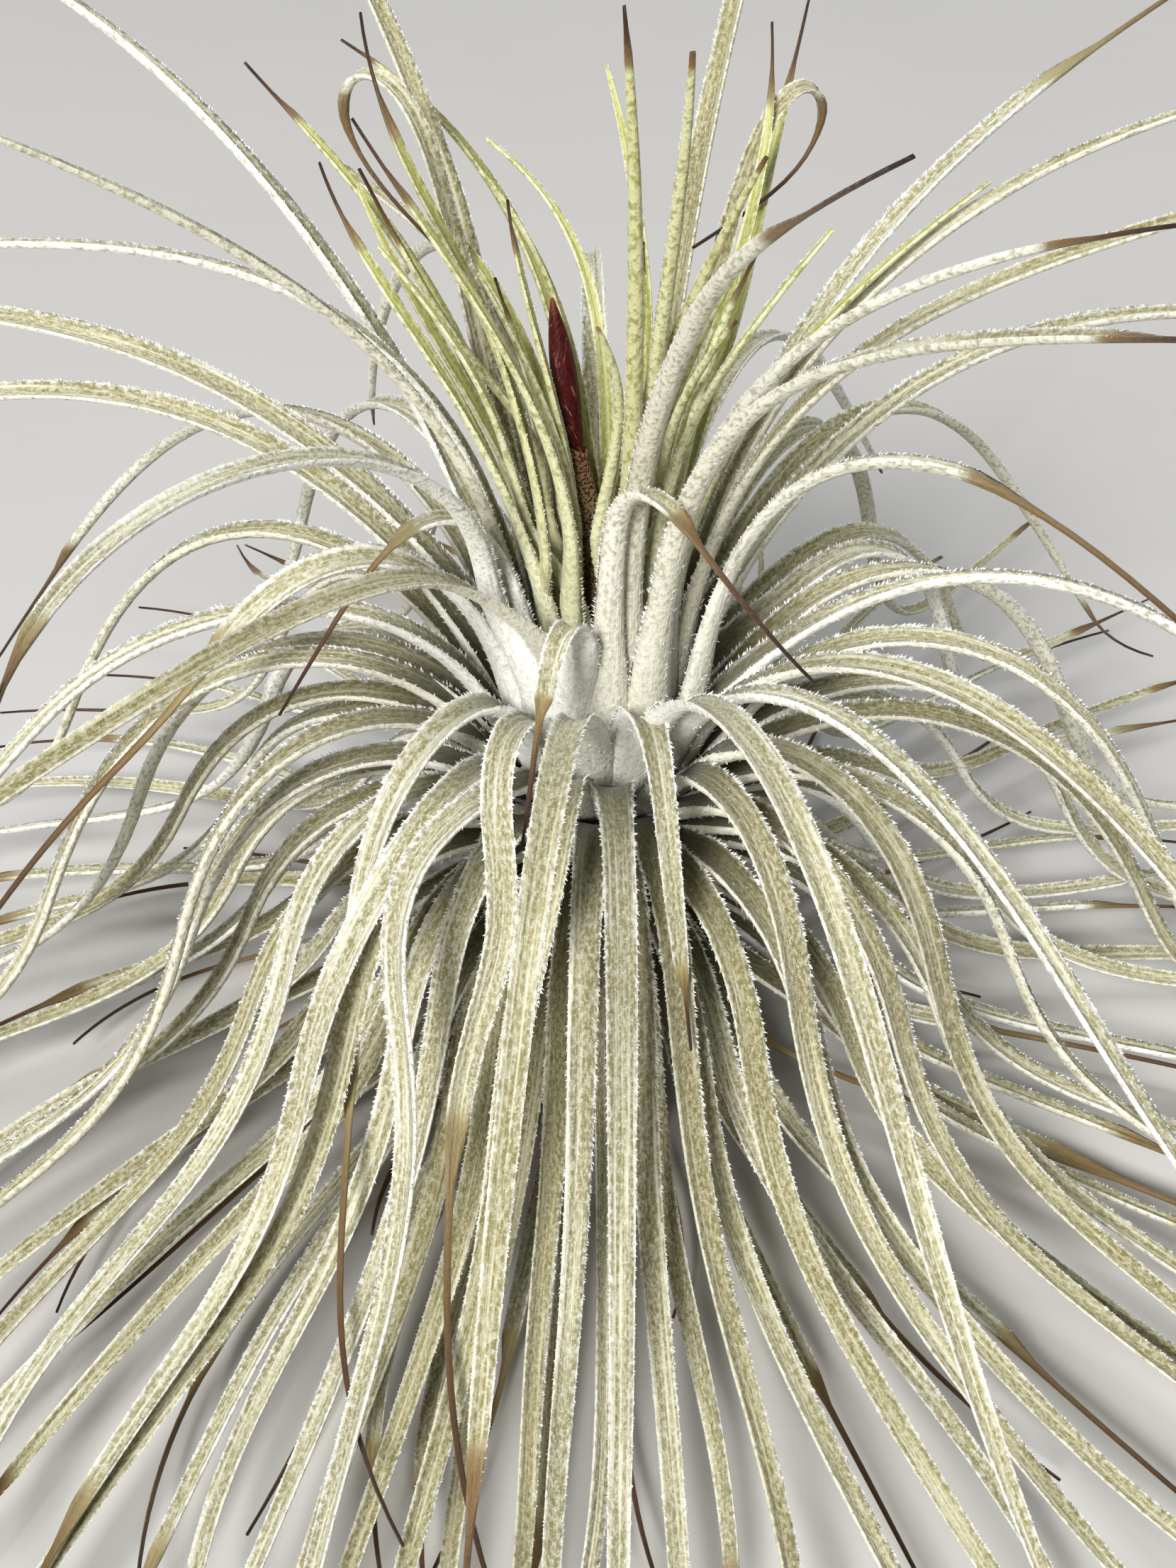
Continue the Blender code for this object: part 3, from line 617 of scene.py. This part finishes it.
def cells_of(grid):
    """The four corners of each cell of a grid of points."""
    return np.stack([grid[:-1, :-1], grid[:-1, 1:], grid[1:, 1:], grid[1:, :-1]], 2)


def tube_map(u, v, cap_size, cap_places):
    """The baking map of a tube's quads over u and v, and of its two end caps."""
    turn = np.linspace(0, math.tau, len(u) - 1, endpoint=False)
    disc = cap_size * np.stack([np.cos(turn), np.sin(turn)], -1)
    quads = cells_of(np.stack(np.meshgrid(u, v), -1)).reshape(-1, 2)
    return np.concatenate([quads, *(disc + place for place in cap_places)])


def face_starts(sizes):
    return np.concatenate([[0], np.cumsum(sizes)[:-1]])


def piece_object(name, points, loops, starts, smooth, attributes, uv):
    """An object from arrays of points and face corners, with its point values and baking map."""
    mesh = bpy.data.meshes.new(name)
    mesh.vertices.add(len(points))
    mesh.vertices.foreach_set("co", points.astype(np.float32).ravel())
    mesh.loops.add(len(loops))
    mesh.loops.foreach_set("vertex_index", loops.astype(np.int32))
    mesh.polygons.add(len(starts))
    mesh.polygons.foreach_set("loop_start", starts.astype(np.int32))
    for title, values in attributes.items():
        layer = mesh.attributes.new(title, "FLOAT_VECTOR", "POINT")
        layer.data.foreach_set("vector", values.astype(np.float32).ravel())
    layer = mesh.uv_layers.new(name="OFBake")
    layer.data.foreach_set("uv", uv.astype(np.float32).ravel())
    mesh.polygons.foreach_set("use_smooth", smooth.astype(bool))
    mesh.update(calc_edges=True)
    mesh.validate()
    made = bpy.data.objects.new(name, mesh)
    bpy.context.scene.collection.objects.link(made)
    return made


def leaf_values(fine, leaf, dries, tone):
    """A leaf's place in millimetres, its look (upper, edge, hair) and its state (dryness, tone)."""
    lateral = fine["lateral"][leaf]
    arc, t, upper, edge = np.broadcast_arrays(
        fine["arc"][leaf][:, None], fine["t"][leaf][:, None], fine["upper"][None], fine["edge"][None], lateral
    )[:4]
    none = np.zeros(arc.shape)
    dryness = np.clip((t - dries) / max(1 - dries, 0.05), 0, 1)
    dryness = np.where(t > dries, DRY_FROM + (1 - DRY_FROM) * dryness, 0)
    place = np.stack([arc / MM, lateral / MM, none + leaf * PATTERN_STEP], -1)
    look = np.stack([upper, edge, none], -1)
    state = np.stack([dryness, none + tone, none], -1)
    return [values.reshape(-1, 3) for values in (place, look, state)]


def leaf_map(left, cell):
    """The baking map of a leaf's quads and end caps, in the column that starts at left."""
    corners = 2 * PANELS
    across = np.arange(corners + 1) / corners * cell * (1 - HAIR_BAND) * (1 - 2 * COLUMN_MARGIN)
    u = left + across + COLUMN_MARGIN * cell
    v = MAP_MARGIN + (1 - 2 * MAP_MARGIN) * np.arange(RINGS) / (RINGS - 1)
    return tube_map(u, v, CAP_SIZE, [(left + 0.5 * cell, end) for end in (v[0], v[-1])])


def hair_values(fine, leaf, tone, ring, corner, kind, draws):
    """The same three point values as a leaf's, for the four points of each of its hairs."""
    none = np.zeros(len(ring))
    arc = np.interp(ring, np.arange(RINGS), fine["arc"][leaf])
    lateral = between(fine["lateral"][leaf][..., None], ring, corner)[:, 0]
    shift = leaf * PATTERN_STEP + draws.uniform(0, 3, len(ring))
    place = np.stack([arc / MM, lateral / MM, shift], -1)
    look = np.stack([np.array(HAIR_UPPER)[kind], np.array(HAIR_EDGE)[kind], none + 1], -1)
    state = np.stack([none, none + tone, none], -1)
    return [values.repeat(4, 0) for values in (place, look, state)]


def hair_map(fine, leaf, left, cell, ring, kind):
    """The baking map of a leaf's hairs: small triangles in the band beside the leaf."""
    u = left + cell - HAIR_BAND * cell * np.array(HAIR_MAP_COLUMN)[kind]
    v = np.clip(np.interp(ring, np.arange(RINGS), fine["t"][leaf]), MAP_MARGIN, 1 - 2 * MAP_MARGIN)
    corner = np.stack([u, v], -1)
    triangle = np.stack([corner, corner + (MAP_TICK, 0), corner + (0, MAP_TICK)], 1)
    return triangle.repeat(4, 0).reshape(-1, 2)


def make_whorl(name, whorl, leaves, fine, draws):
    """One whorl's fine leaves with their hairs, as one object."""
    members = np.flatnonzero(leaves["whorl"] == whorl)
    cell = 1 / len(members)
    tones = np.random.default_rng(SEED + 3).uniform(0, 1, len(leaves["whorl"]))
    hair_sides = np.array([(0, 2, 1), (0, 1, 3), (1, 2, 3), (2, 0, 3)])
    points, loops, sizes, smooth, uv, values = [], [], [], [], [], []
    first = 0
    for column, leaf in enumerate(members):
        leaf_loops, leaf_sizes = tube_faces(RINGS, 2 * PANELS, first)
        points.append(fine["rings"][leaf].reshape(-1, 3))
        loops.append(leaf_loops)
        sizes.append(leaf_sizes)
        smooth.append(leaf_sizes == 4)
        uv.append(leaf_map(column * cell, cell))
        values.append(leaf_values(fine, leaf, leaves["dries"][leaf], tones[leaf]))
        first += len(points[-1])

        hairs, ring, corner, kind = make_hairs(fine, leaf, leaves, draws)
        points.append(hairs.reshape(-1, 3))
        loops.append((first + 4 * np.arange(len(hairs))[:, None, None] + hair_sides).ravel())
        sizes.append(np.full(4 * len(hairs), 3))
        smooth.append(np.zeros(4 * len(hairs)))
        uv.append(hair_map(fine, leaf, column * cell, cell, ring, kind))
        values.append(hair_values(fine, leaf, tones[leaf], ring, corner, kind, draws))
        first += len(points[-1])
    starts = face_starts(np.concatenate(sizes))
    titles = ("place", "look", "state")
    attributes = {title: np.concatenate(rows) for title, rows in zip(titles, zip(*values))}
    points = np.maximum(np.concatenate(points), (-1, -1, ABOVE_FLOOR))
    return piece_object(
        name, points, np.concatenate(loops), starts, np.concatenate(smooth), attributes, np.concatenate(uv)
    )


def tube_piece(name, rings, places, looks):
    """A closed tube from rings of points, with its point values and baking map."""
    count, sides = rings.shape[:2]
    loops, sizes = tube_faces(count, sides)
    # The side fills the left of the map, and the end caps lie to its right.
    u = 0.02 + 0.84 * np.arange(sides + 1) / sides
    v = 0.02 + 0.96 * np.arange(count) / (count - 1)
    uv = tube_map(u, v, 0.05, ((0.93, 0.2), (0.93, 0.8)))
    attributes = {"place": places.reshape(-1, 3), "look": looks.reshape(-1, 3)}
    smooth = np.ones(len(sizes))
    return piece_object(name, rings.reshape(-1, 3), loops, face_starts(sizes), smooth, attributes, uv)


def rolled_bract(name, span, radii, mouth, seed):
    """A bract rolled round the flower spike, its free margin standing a little proud along one side."""
    foot, tip = np.array(SPIKE_FOOT) * MM, np.array(SPIKE_TIP) * MM
    axis = unit(tip - foot)
    across = unit(np.cross(axis, (0, 1, 0)))
    deep = np.cross(axis, across)
    part = np.linspace(0, 1, ROLL_RINGS)
    through = np.polyfit(np.linspace(0, 1, len(radii)), radii, len(radii) - 1)
    radius = np.polyval(through, part) * MM
    height = (span[0] + (span[1] - span[0]) * part) * np.linalg.norm(tip - foot)
    if mouth:
        radius = np.concatenate([radius, radius[-1] - MOUTH_DEPTH * 0.3 * np.arange(1, MOUTH_RINGS + 1)])
        height = np.concatenate([height, height[-1] - MOUTH_DEPTH * np.arange(1, MOUTH_RINGS + 1)])
    turn = np.linspace(0, math.tau, ROLL_SIDES, endpoint=False)[None]
    wander = WANDER * np.sin(height / WANDER_OVER + seed)[:, None]
    ribs = RIB_DEPTH * np.cos(RIBS * turn + 2 * wander)
    reach = radius[:, None] * (1 - ROLL_STEP / 2 + ROLL_STEP * turn / math.tau + ribs)
    lip = LIP_RISE * mouth * smooth_step((height[:, None] / height.max() - 0.8) / 0.2) * np.cos(turn - 2.4)
    angle = turn + ROLL_START + wander
    level = across * np.cos(angle)[..., None] + deep * np.sin(angle)[..., None]
    rings = foot + axis * (height[:, None] + lip)[..., None] + level * reach[..., None]
    along = height[:, None] + 0 * turn
    round_it = radius[:, None] * turn
    places = np.stack([along / MM, round_it / MM, np.full(along.shape, seed)], -1)
    # This value marks the seam where the roll overlaps itself; the materials paint shade along it.
    margin = np.exp(-((np.minimum(turn, math.tau - turn) / 0.25) ** 2)) + 0 * along
    looks = np.stack([margin, (height[:, None] - height.min()) / np.ptp(height) + 0 * turn, 0 * along], -1)
    return tube_piece(name, rings, places, looks)


def stem_radius(height):
    heights = [0, *ROOT_HEIGHT, STEM_TOP / MM]
    at_roots = [radius * MM - STEM_INSET for radius in ROOT_RADIUS]
    return np.interp(height / MM, heights, [FOOT_RADIUS, *at_roots, at_roots[-1]])


def scale_plate(angle, height, width, seed):
    """One dry scale on the stem, as a closed pointed plate: two layers of points, outer then inner."""
    steps = np.linspace(0, 1, SCALE_PANELS + 1)
    v, u = np.meshgrid(steps, 2 * steps - 1, indexing="ij")
    level = np.minimum(height + v * SCALE_HEIGHT, STEM_TOP)
    half = width / 2 * np.sqrt(np.clip(1 - v**2.4, 0.004, 1))
    turn = angle + u * half / stem_radius(level)
    lean = SCALE_LEAN * v * (0.6 + 0.4 * np.sin(seed)) + 0.06 * MM * np.cos(5 * u + seed)
    layers = []
    for depth in (SCALE_THICKNESS, 0.0):
        reach = stem_radius(level) + lean + depth * (1 - np.abs(u) ** 4) * (1 - v**4)
        layers.append(np.stack([reach * np.cos(turn), reach * np.sin(turn), level], -1))
    return layers, v, u * half / MM


def make_stem(material):
    """The short stem: a turned core under rows of overlapping dry scales."""
    heights = np.linspace(0, STEM_TOP, 40)
    turn = np.linspace(0, math.tau, 36, endpoint=False)[None]
    reach = stem_radius(heights)[:, None] * (1 - 0.03 * (1 + np.cos(9 * turn + heights[:, None] / MM)))
    rings = np.stack([reach * np.cos(turn), reach * np.sin(turn), heights[:, None] + 0 * turn], -1)
    places = np.stack([heights[:, None] / MM + 0 * turn, reach * turn / MM, 0 * reach], -1)
    core = tube_piece("stem_core", rings, places, np.zeros(places.shape))

    draws = np.random.default_rng(SEED + 5)
    grid = np.arange((SCALE_PANELS + 1) ** 2).reshape(SCALE_PANELS + 1, SCALE_PANELS + 1)
    layer = grid.size
    quads = cells_of(grid).reshape(-1, 4)
    rim = np.concatenate([grid[0, :-1], grid[:-1, -1], grid[-1, :0:-1], grid[:0:-1, 0]])
    after = np.roll(rim, -1)
    sides = np.stack([after, rim, rim + layer, after + layer], -1)
    plate = np.concatenate([quads, quads[:, ::-1] + layer, sides])
    points, faces, place, look, uv = [], [], [], [], []
    for number in range(SCALE_ROWS * SCALES_ROUND):
        row, column = divmod(number, SCALES_ROUND)
        height = (0.3 * MM + row * (STEM_TOP - SCALE_HEIGHT) / (SCALE_ROWS - 1)) + draws.uniform(0, 0.8) * MM
        angle = math.tau * (column + 0.5 * (row % 2) + draws.uniform(-0.12, 0.12)) / SCALES_ROUND
        width = SCALE_OVERLAP * math.tau * stem_radius(height) / SCALES_ROUND
        seed = draws.uniform(0, 9)
        layers, v, lateral = scale_plate(angle, height, width, seed)
        faces.append(plate + number * 2 * layer)
        along = (height + v * SCALE_HEIGHT) / MM
        for points_here in layers:
            points.append(points_here.reshape(-1, 3))
            place.append(np.stack([along, lateral, np.full(v.shape, seed)], -1).reshape(-1, 3))
            look.append(np.stack([v, np.zeros(v.shape), np.ones(v.shape)], -1).reshape(-1, 3))
        cell = np.array([(number % 10) / 10, (number // 10) / 10])
        corner = np.stack([0.5 + 0.45 * np.tile(np.linspace(-1, 1, SCALE_PANELS + 1), SCALE_PANELS + 1),
                           np.repeat(np.linspace(0.05, 0.95, SCALE_PANELS + 1), SCALE_PANELS + 1)], -1)
        corner = np.concatenate([corner * (0.45, 1), corner * (0.45, 1) + (0.5, 0)])
        uv.append(cell + corner[plate].reshape(-1, 2) * 0.1)
    faces = np.concatenate(faces)
    starts = 4 * np.arange(len(faces))
    attributes = {"place": np.concatenate(place), "look": np.concatenate(look)}
    scales = piece_object("stem_scales", np.concatenate(points), faces.ravel(), starts,
                          np.ones(len(faces)), attributes, np.concatenate(uv))
    for piece in (core, scales):
        piece.data.materials.append(material)
        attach(piece, "root")
        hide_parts("stem")


def make_flower_spike(materials):
    sheath = rolled_bract("speckled_spike_sheath", SHEATH_SPAN, SHEATH_RADII, True, 1.7)
    bract = rolled_bract("veined_red_bract", BRACT_SPAN, BRACT_RADII, False, 4.2)
    for piece, node in ((sheath, "spike_sheath"), (bract, "red_bract")):
        piece.data.materials.append(materials[node])
        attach(piece, "root")
        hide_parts(node)


class Surface:
    """A node material in the making."""

    def __init__(self, name):
        self.material = bpy.data.materials.new(name)
        self.material.use_nodes = True
        self.tree = self.material.node_tree
        self.shader = self.tree.nodes["Principled BSDF"]

    def node(self, kind, inputs, **settings):
        made = self.tree.nodes.new(kind)
        for name, value in settings.items():
            setattr(made, name, value)
        for socket, value in inputs.items():
            self.fill(made.inputs[socket], value)
        return made

    def fill(self, socket, value):
        if isinstance(value, bpy.types.NodeSocket):
            self.tree.links.new(value, socket)
        else:
            socket.default_value = value

    def attribute(self, name):
        """The three parts of a point value."""
        made = self.node("ShaderNodeAttribute", {}, attribute_name=name)
        parts = self.node("ShaderNodeSeparateXYZ", {0: made.outputs["Vector"]})
        return made.outputs["Vector"], parts.outputs[0], parts.outputs[1], parts.outputs[2]

    def maths(self, operation, a, b):
        return self.node("ShaderNodeMath", {0: a, 1: b}, operation=operation).outputs[0]

    def times(self, a, b):
        return self.maths("MULTIPLY", a, b)

    def mix(self, part, a, b, blend="MIX"):
        made = self.node("ShaderNodeMix", {0: part, 6: a, 7: b}, data_type="RGBA", blend_type=blend)
        return made.outputs[2]

    def ramp(self, value, low, high, start=0.0, end=1.0):
        made = self.node(
            "ShaderNodeMapRange",
            {"Value": value, "From Min": low, "From Max": high, "To Min": start, "To Max": end},
            interpolation_type="SMOOTHSTEP",
        )
        return made.outputs["Result"]

    def colours(self, value, stops):
        made = self.node("ShaderNodeValToRGB", {"Fac": value})
        elements = made.color_ramp.elements
        while len(elements) < len(stops):
            elements.new(0.5)
        for element, (position, shade) in zip(elements, stops):
            element.position = position
            element.color = shade
        return made.outputs["Color"]

    def stretched(self, vector, scale, shift):
        inputs = {0: vector, 1: scale, 2: (shift, shift, shift)}
        return self.node("ShaderNodeVectorMath", inputs, operation="MULTIPLY_ADD").outputs[0]

    def noise(self, vector, scale, detail=3.0, roughness=0.6, shift=0.0):
        moved = self.stretched(vector, scale, shift)
        inputs = {"Vector": moved, "Scale": 1.0, "Detail": detail, "Roughness": roughness}
        return self.node("ShaderNodeTexNoise", inputs).outputs["Fac"]

    def cells(self, vector, scale, shift=0.0):
        """The distance from the middle of the nearest of a scatter of cells, 0 at its middle."""
        moved = self.stretched(vector, scale, shift)
        return self.node("ShaderNodeTexVoronoi", {"Vector": moved, "Scale": 1.0}).outputs["Distance"]

    def finish(self, base, roughness, height, strength, distance):
        """Sets the colour, the roughness and the relief, and hands over the material."""
        made = self.node("ShaderNodeBump", {"Strength": strength, "Distance": distance, "Height": height})
        values = {"Base Color": base, "Roughness": roughness, "Normal": made.outputs[0]}
        for title, value in values.items():
            self.fill(self.shader.inputs[title], value)
        return self.material


def colour(red, green, blue):
    """An opaque linear colour from the 0 to 255 values of a screen colour."""
    def linear(value):
        value /= 255
        return value / 12.92 if value <= 0.04045 else ((value + 0.055) / 1.055) ** 2.4
    return (linear(red), linear(green), linear(blue), 1.0)


def leaf_material(name, deep, olive, pale_olive, shade, silver, hair, dry_stops, fur):
    """A furred leaf: an olive channel with pale lines and flecks, darker towards the root partly by its own
    deeper green and partly by painted shade, a silver back and dry tips.
    """
    s = Surface(name)
    place, arc, _, _ = s.attribute("place")
    _, upper, edge, is_hair = s.attribute("look")
    _, dryness, tone, _ = s.attribute("state")
    lines = s.noise(place, (0.05, 2.6, 1.0), 2.0)
    blotch = s.noise(place, (0.12, 0.35, 1.0), 2.0, shift=31.0)
    felt = s.noise(place, (1.7, 3.6, 1.0), 3.0, 0.55, shift=7.0)
    cross = s.noise(place, (4.6, 4.0, 1.0), 2.0, 0.6, shift=53.0)
    flecks = s.ramp(cross, 0.54, 0.66)
    strokes = s.ramp(felt, 0.34, 0.54)

    channel = s.mix(s.ramp(lines, 0.38, 0.64), olive, pale_olive)
    channel = s.mix(s.ramp(arc, 16.0, 62.0, 0.50, 0.0), channel, olive)
    channel = s.mix(s.times(s.ramp(lines, 0.52, 0.70), 0.42 * fur), channel, silver)
    channel = s.mix(s.times(flecks, 0.34 * fur), channel, silver)
    channel = s.mix(s.times(s.ramp(felt, 0.36, 0.72), 0.40 * fur), channel, silver)
    # The upper face darkens to deep towards the root: partly the base's own deeper, less hairy green, partly
    # painted shade of the crowded heart of the rosette.
    channel = s.mix(s.ramp(arc, 4.0, 24.0, 0.9, 0.0), channel, deep)
    back = s.mix(strokes, shade, silver)
    patches = s.times(s.ramp(blotch, 0.45, 0.75), s.ramp(arc, 10.0, 40.0, 0.08, 0.25))
    back = s.mix(patches, back, pale_olive)
    back = s.mix(s.ramp(arc, 8.0, 34.0, 0.5, 0.0), back, hair)
    is_upper = s.ramp(upper, 0.35, 0.75)
    fresh = s.mix(is_upper, back, channel)
    frayed = s.maths("ADD", edge, s.times(s.maths("SUBTRACT", felt, 0.5), 0.6))
    fresh = s.mix(s.times(s.ramp(frayed, 0.76, 1.08), 0.8), fresh, hair)
    toned = s.mix(s.ramp(tone, 0.0, 1.0), (0.80, 0.78, 0.68, 1), (1, 1, 1, 1))
    fresh = s.mix(1.0, fresh, toned, "MULTIPLY")
    fresh = s.mix(s.ramp(is_hair, 0.4, 0.7), fresh, hair)

    ragged = s.maths("ADD", dryness, s.times(s.maths("SUBTRACT", felt, 0.5), 0.12))
    bleached = s.maths("SUBTRACT", ragged, s.ramp(tone, 0.45, 1.0, 0.0, 0.16))
    dry = s.colours(bleached, dry_stops)
    dry = s.mix(s.ramp(lines, 0.3, 0.7, 0.0, 0.35), dry, (0.05, 0.025, 0.01, 1))
    whole = s.mix(s.ramp(ragged, 0.0, 0.16), fresh, dry)
    s.shader.inputs["Sheen Weight"].default_value = 0.25
    s.shader.inputs["Sheen Roughness"].default_value = 0.5
    s.shader.inputs["Specular IOR Level"].default_value = 0.3
    height = s.maths("ADD", s.times(felt, 0.8), s.times(lines, 0.9))
    return s.finish(whole, s.ramp(dryness, 0.05, 0.3, 0.88, 0.55), height, 0.85, 0.22 * MM)


def sheath_material():
    """The spike's sheath: brown, under a close pattern of small dark scales with pale rims."""
    s = Surface("spike_sheath")
    place, arc, _, _ = s.attribute("place")
    _, margin, _, _ = s.attribute("look")
    scales = s.cells(place, (3.4, 4.6, 1.0))
    blotch = s.noise(place, (0.5, 0.8, 1.0), 2.0, shift=11.0)
    ground = s.mix(blotch, colour(92, 66, 38), colour(128, 100, 62))
    rims = s.mix(s.ramp(scales, 0.36, 0.56), colour(40, 18, 14), colour(164, 144, 108))
    surface = s.mix(0.82, ground, rims)
    surface = s.mix(s.times(s.ramp(arc, 14.0, 22.0), 0.5), surface, colour(96, 26, 20))
    # Painted shade: a dark line along the seam where the rolled margin overlaps.
    surface = s.mix(s.times(margin, 0.6), surface, colour(40, 24, 16))
    height = s.maths("ADD", scales, s.times(blotch, 0.5))
    return s.finish(surface, s.ramp(scales, 0.2, 0.6, 0.5, 0.85), height, 0.7, 0.12 * MM)


def bract_material():
    """The bract: dark red, with pale pink streaks along it and a drier tip."""
    s = Surface("red_bract")
    place, _, _, _ = s.attribute("place")
    _, margin, along, _ = s.attribute("look")
    streaks = s.noise(place, (0.55, 3.2, 1.0), 3.0, 0.6, shift=3.0)
    fine = s.noise(place, (2.5, 7.0, 1.0), 2.0, 0.6, shift=23.0)
    surface = s.mix(s.ramp(fine, 0.35, 0.7), colour(48, 8, 10), colour(96, 18, 17))
    streaked = s.times(s.ramp(streaks, 0.55, 0.68), s.ramp(fine, 0.35, 0.55))
    surface = s.mix(s.times(streaked, 0.6), surface, colour(178, 124, 114))
    # Painted shade: a darker red line along the seam where the rolled margin overlaps.
    surface = s.mix(s.times(margin, 0.5), surface, colour(50, 10, 12))
    surface = s.mix(s.ramp(along, 0.88, 1.0), surface, colour(112, 56, 38))
    height = s.maths("ADD", streaks, s.times(fine, 0.4))
    return s.finish(surface, s.ramp(streaks, 0.3, 0.7, 0.35, 0.6), height, 0.6, 0.12 * MM)


def stem_material():
    """Dry stem and scales: brown, fibrous lengthwise, paler and greyer towards each scale's tip."""
    s = Surface("stem")
    place, _, _, _ = s.attribute("place")
    _, along, _, is_scale = s.attribute("look")
    fibres = s.noise(place, (0.5, 5.0, 1.0), 3.0, 0.6)
    blotch = s.noise(place, (0.3, 0.4, 1.0), 2.0, shift=9.0)
    bark = s.mix(s.ramp(fibres, 0.3, 0.7), colour(64, 46, 32), colour(112, 84, 56))
    dry = s.mix(s.ramp(fibres, 0.3, 0.7), colour(128, 98, 64), colour(178, 152, 112))
    dry = s.mix(s.ramp(along, 0.55, 1.0, 0.0, 0.7), dry, colour(196, 184, 158))
    dry = s.mix(s.ramp(blotch, 0.55, 0.75, 0.0, 0.6), dry, colour(96, 66, 42))
    surface = s.mix(is_scale, bark, dry)
    return s.finish(surface, s.ramp(blotch, 0.3, 0.7, 0.75, 0.95), fibres, 0.8, 0.2 * MM)


def make_materials():
    dry = (
        (0.0, colour(168, 156, 116)),
        (0.2, colour(134, 112, 76)),
        (0.5, colour(92, 66, 44)),
        (0.85, colour(54, 36, 28)),
    )
    old = (
        (0.0, colour(196, 178, 140)),
        (0.4, colour(168, 140, 98)),
        (0.8, colour(118, 88, 56)),
        (1.0, colour(72, 48, 30)),
    )
    # Each leaf material's first colour is the dark olive of its root: partly its own deeper green, partly
    # painted shade.
    silver = leaf_material(
        "silver_leaf", colour(76, 74, 40), colour(138, 133, 94), colour(181, 177, 141),
        colour(196, 197, 180), colour(250, 250, 244), colour(254, 254, 250), dry, 1.0,
    )
    young = leaf_material(
        "young_leaf", colour(112, 116, 48), colour(152, 154, 82), colour(192, 194, 122),
        colour(172, 174, 112), colour(226, 227, 190), colour(244, 244, 222), dry, 0.9,
    )
    withered = leaf_material(
        "old_leaf", colour(96, 82, 52), colour(150, 134, 92), colour(186, 170, 128), colour(150, 138, 108),
        colour(214, 206, 184), colour(226, 220, 200), old, 0.7,
    )
    return {
        "silver": silver,
        "young": young,
        "old": withered,
        "spike_sheath": sheath_material(),
        "red_bract": bract_material(),
        "stem": stem_material(),
    }


def whorl_kind(whorl):
    """A whorl's node name and kind of leaf."""
    first_young = len(WHORL_LEAVES) - YOUNG_WHORLS
    if whorl < OLD_WHORLS:
        return f"old_whorl_{whorl + 1}", "old"
    if whorl < first_young:
        return f"silver_whorl_{whorl - OLD_WHORLS + 1:02d}", "silver"
    return f"young_whorl_{whorl - first_young + 1}", "young"


def make_whorls(materials):
    leaves = plan_leaves()
    points, across = centre_lines(leaves)
    points = bend_clear(leaves, points, across)
    fine = fine_leaves(leaves, points, across)
    draws = np.random.default_rng(SEED + 4)
    for whorl in range(len(WHORL_LEAVES)):
        node, kind = whorl_kind(whorl)
        piece = make_whorl("furred_" + node, whorl, leaves, fine, draws)
        piece.data.materials.append(materials[kind])
        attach(piece, "root")
        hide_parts(node)


def make_floor():
    bpy.ops.mesh.primitive_plane_add(size=12)
    floor = bpy.context.object
    floor.name = "floor"
    s = Surface("pale_floor")
    place = s.node("ShaderNodeTexCoord", {}).outputs["Object"]
    mottle = s.noise(place, (9.0, 9.0, 9.0), 3.0)
    s.fill(s.shader.inputs["Base Color"], s.mix(mottle, (0.52, 0.51, 0.495, 1), (0.57, 0.56, 0.545, 1)))
    s.shader.inputs["Roughness"].default_value = 0.8
    floor.data.materials.append(s.material)


def add_light(name, place, target, size, power, tint=(1, 1, 1)):
    light = bpy.data.objects.new(name, bpy.data.lights.new(name, "AREA"))
    light.data.size = size
    light.data.energy = power
    light.data.color = tint
    light.location = place
    light.rotation_euler = (Vector(target) - Vector(place)).to_track_quat("-Z", "Y").to_euler()
    bpy.context.scene.collection.objects.link(light)


def make_studio():
    """The camera at the photograph's viewing angle, and soft light from above and the left."""
    scene = bpy.context.scene
    target = Vector(CAMERA_TARGET)
    camera = bpy.data.objects.new("camera", bpy.data.cameras.new("camera"))
    camera.location = target + Vector((0, -math.cos(CAMERA_RISE), math.sin(CAMERA_RISE))) * CAMERA_DISTANCE
    camera.rotation_euler = (target - camera.location).to_track_quat("-Z", "Y").to_euler()
    camera.data.sensor_width = SENSOR_WIDTH
    camera.data.lens = SENSOR_WIDTH * LENS_PIXELS / FRAME_HEIGHT
    camera.data.clip_start = 0.005
    scene.collection.objects.link(camera)
    scene.camera = camera
    add_light("key", (-0.60, -1.68, 1.42), (0, 0, 0.04), 0.56, 54, (1.0, 0.985, 0.96))
    add_light("sky", (0.33, 0.44, 2.20), (0, 0, 0.04), 1.10, 21, (0.97, 0.99, 1.0))
    world = bpy.data.worlds.new("studio")
    world.use_nodes = True
    background = world.node_tree.nodes["Background"]
    background.inputs["Color"].default_value = (0.9, 0.93, 1.0, 1)
    background.inputs["Strength"].default_value = 0.12
    scene.world = world
    scene.view_settings.view_transform = "Standard"
    scene.view_settings.look = "Medium High Contrast"


def main():
    make_studio()
    make_floor()
    materials = make_materials()
    make_stem(materials["stem"])
    make_flower_spike(materials)
    make_whorls(materials)


main()
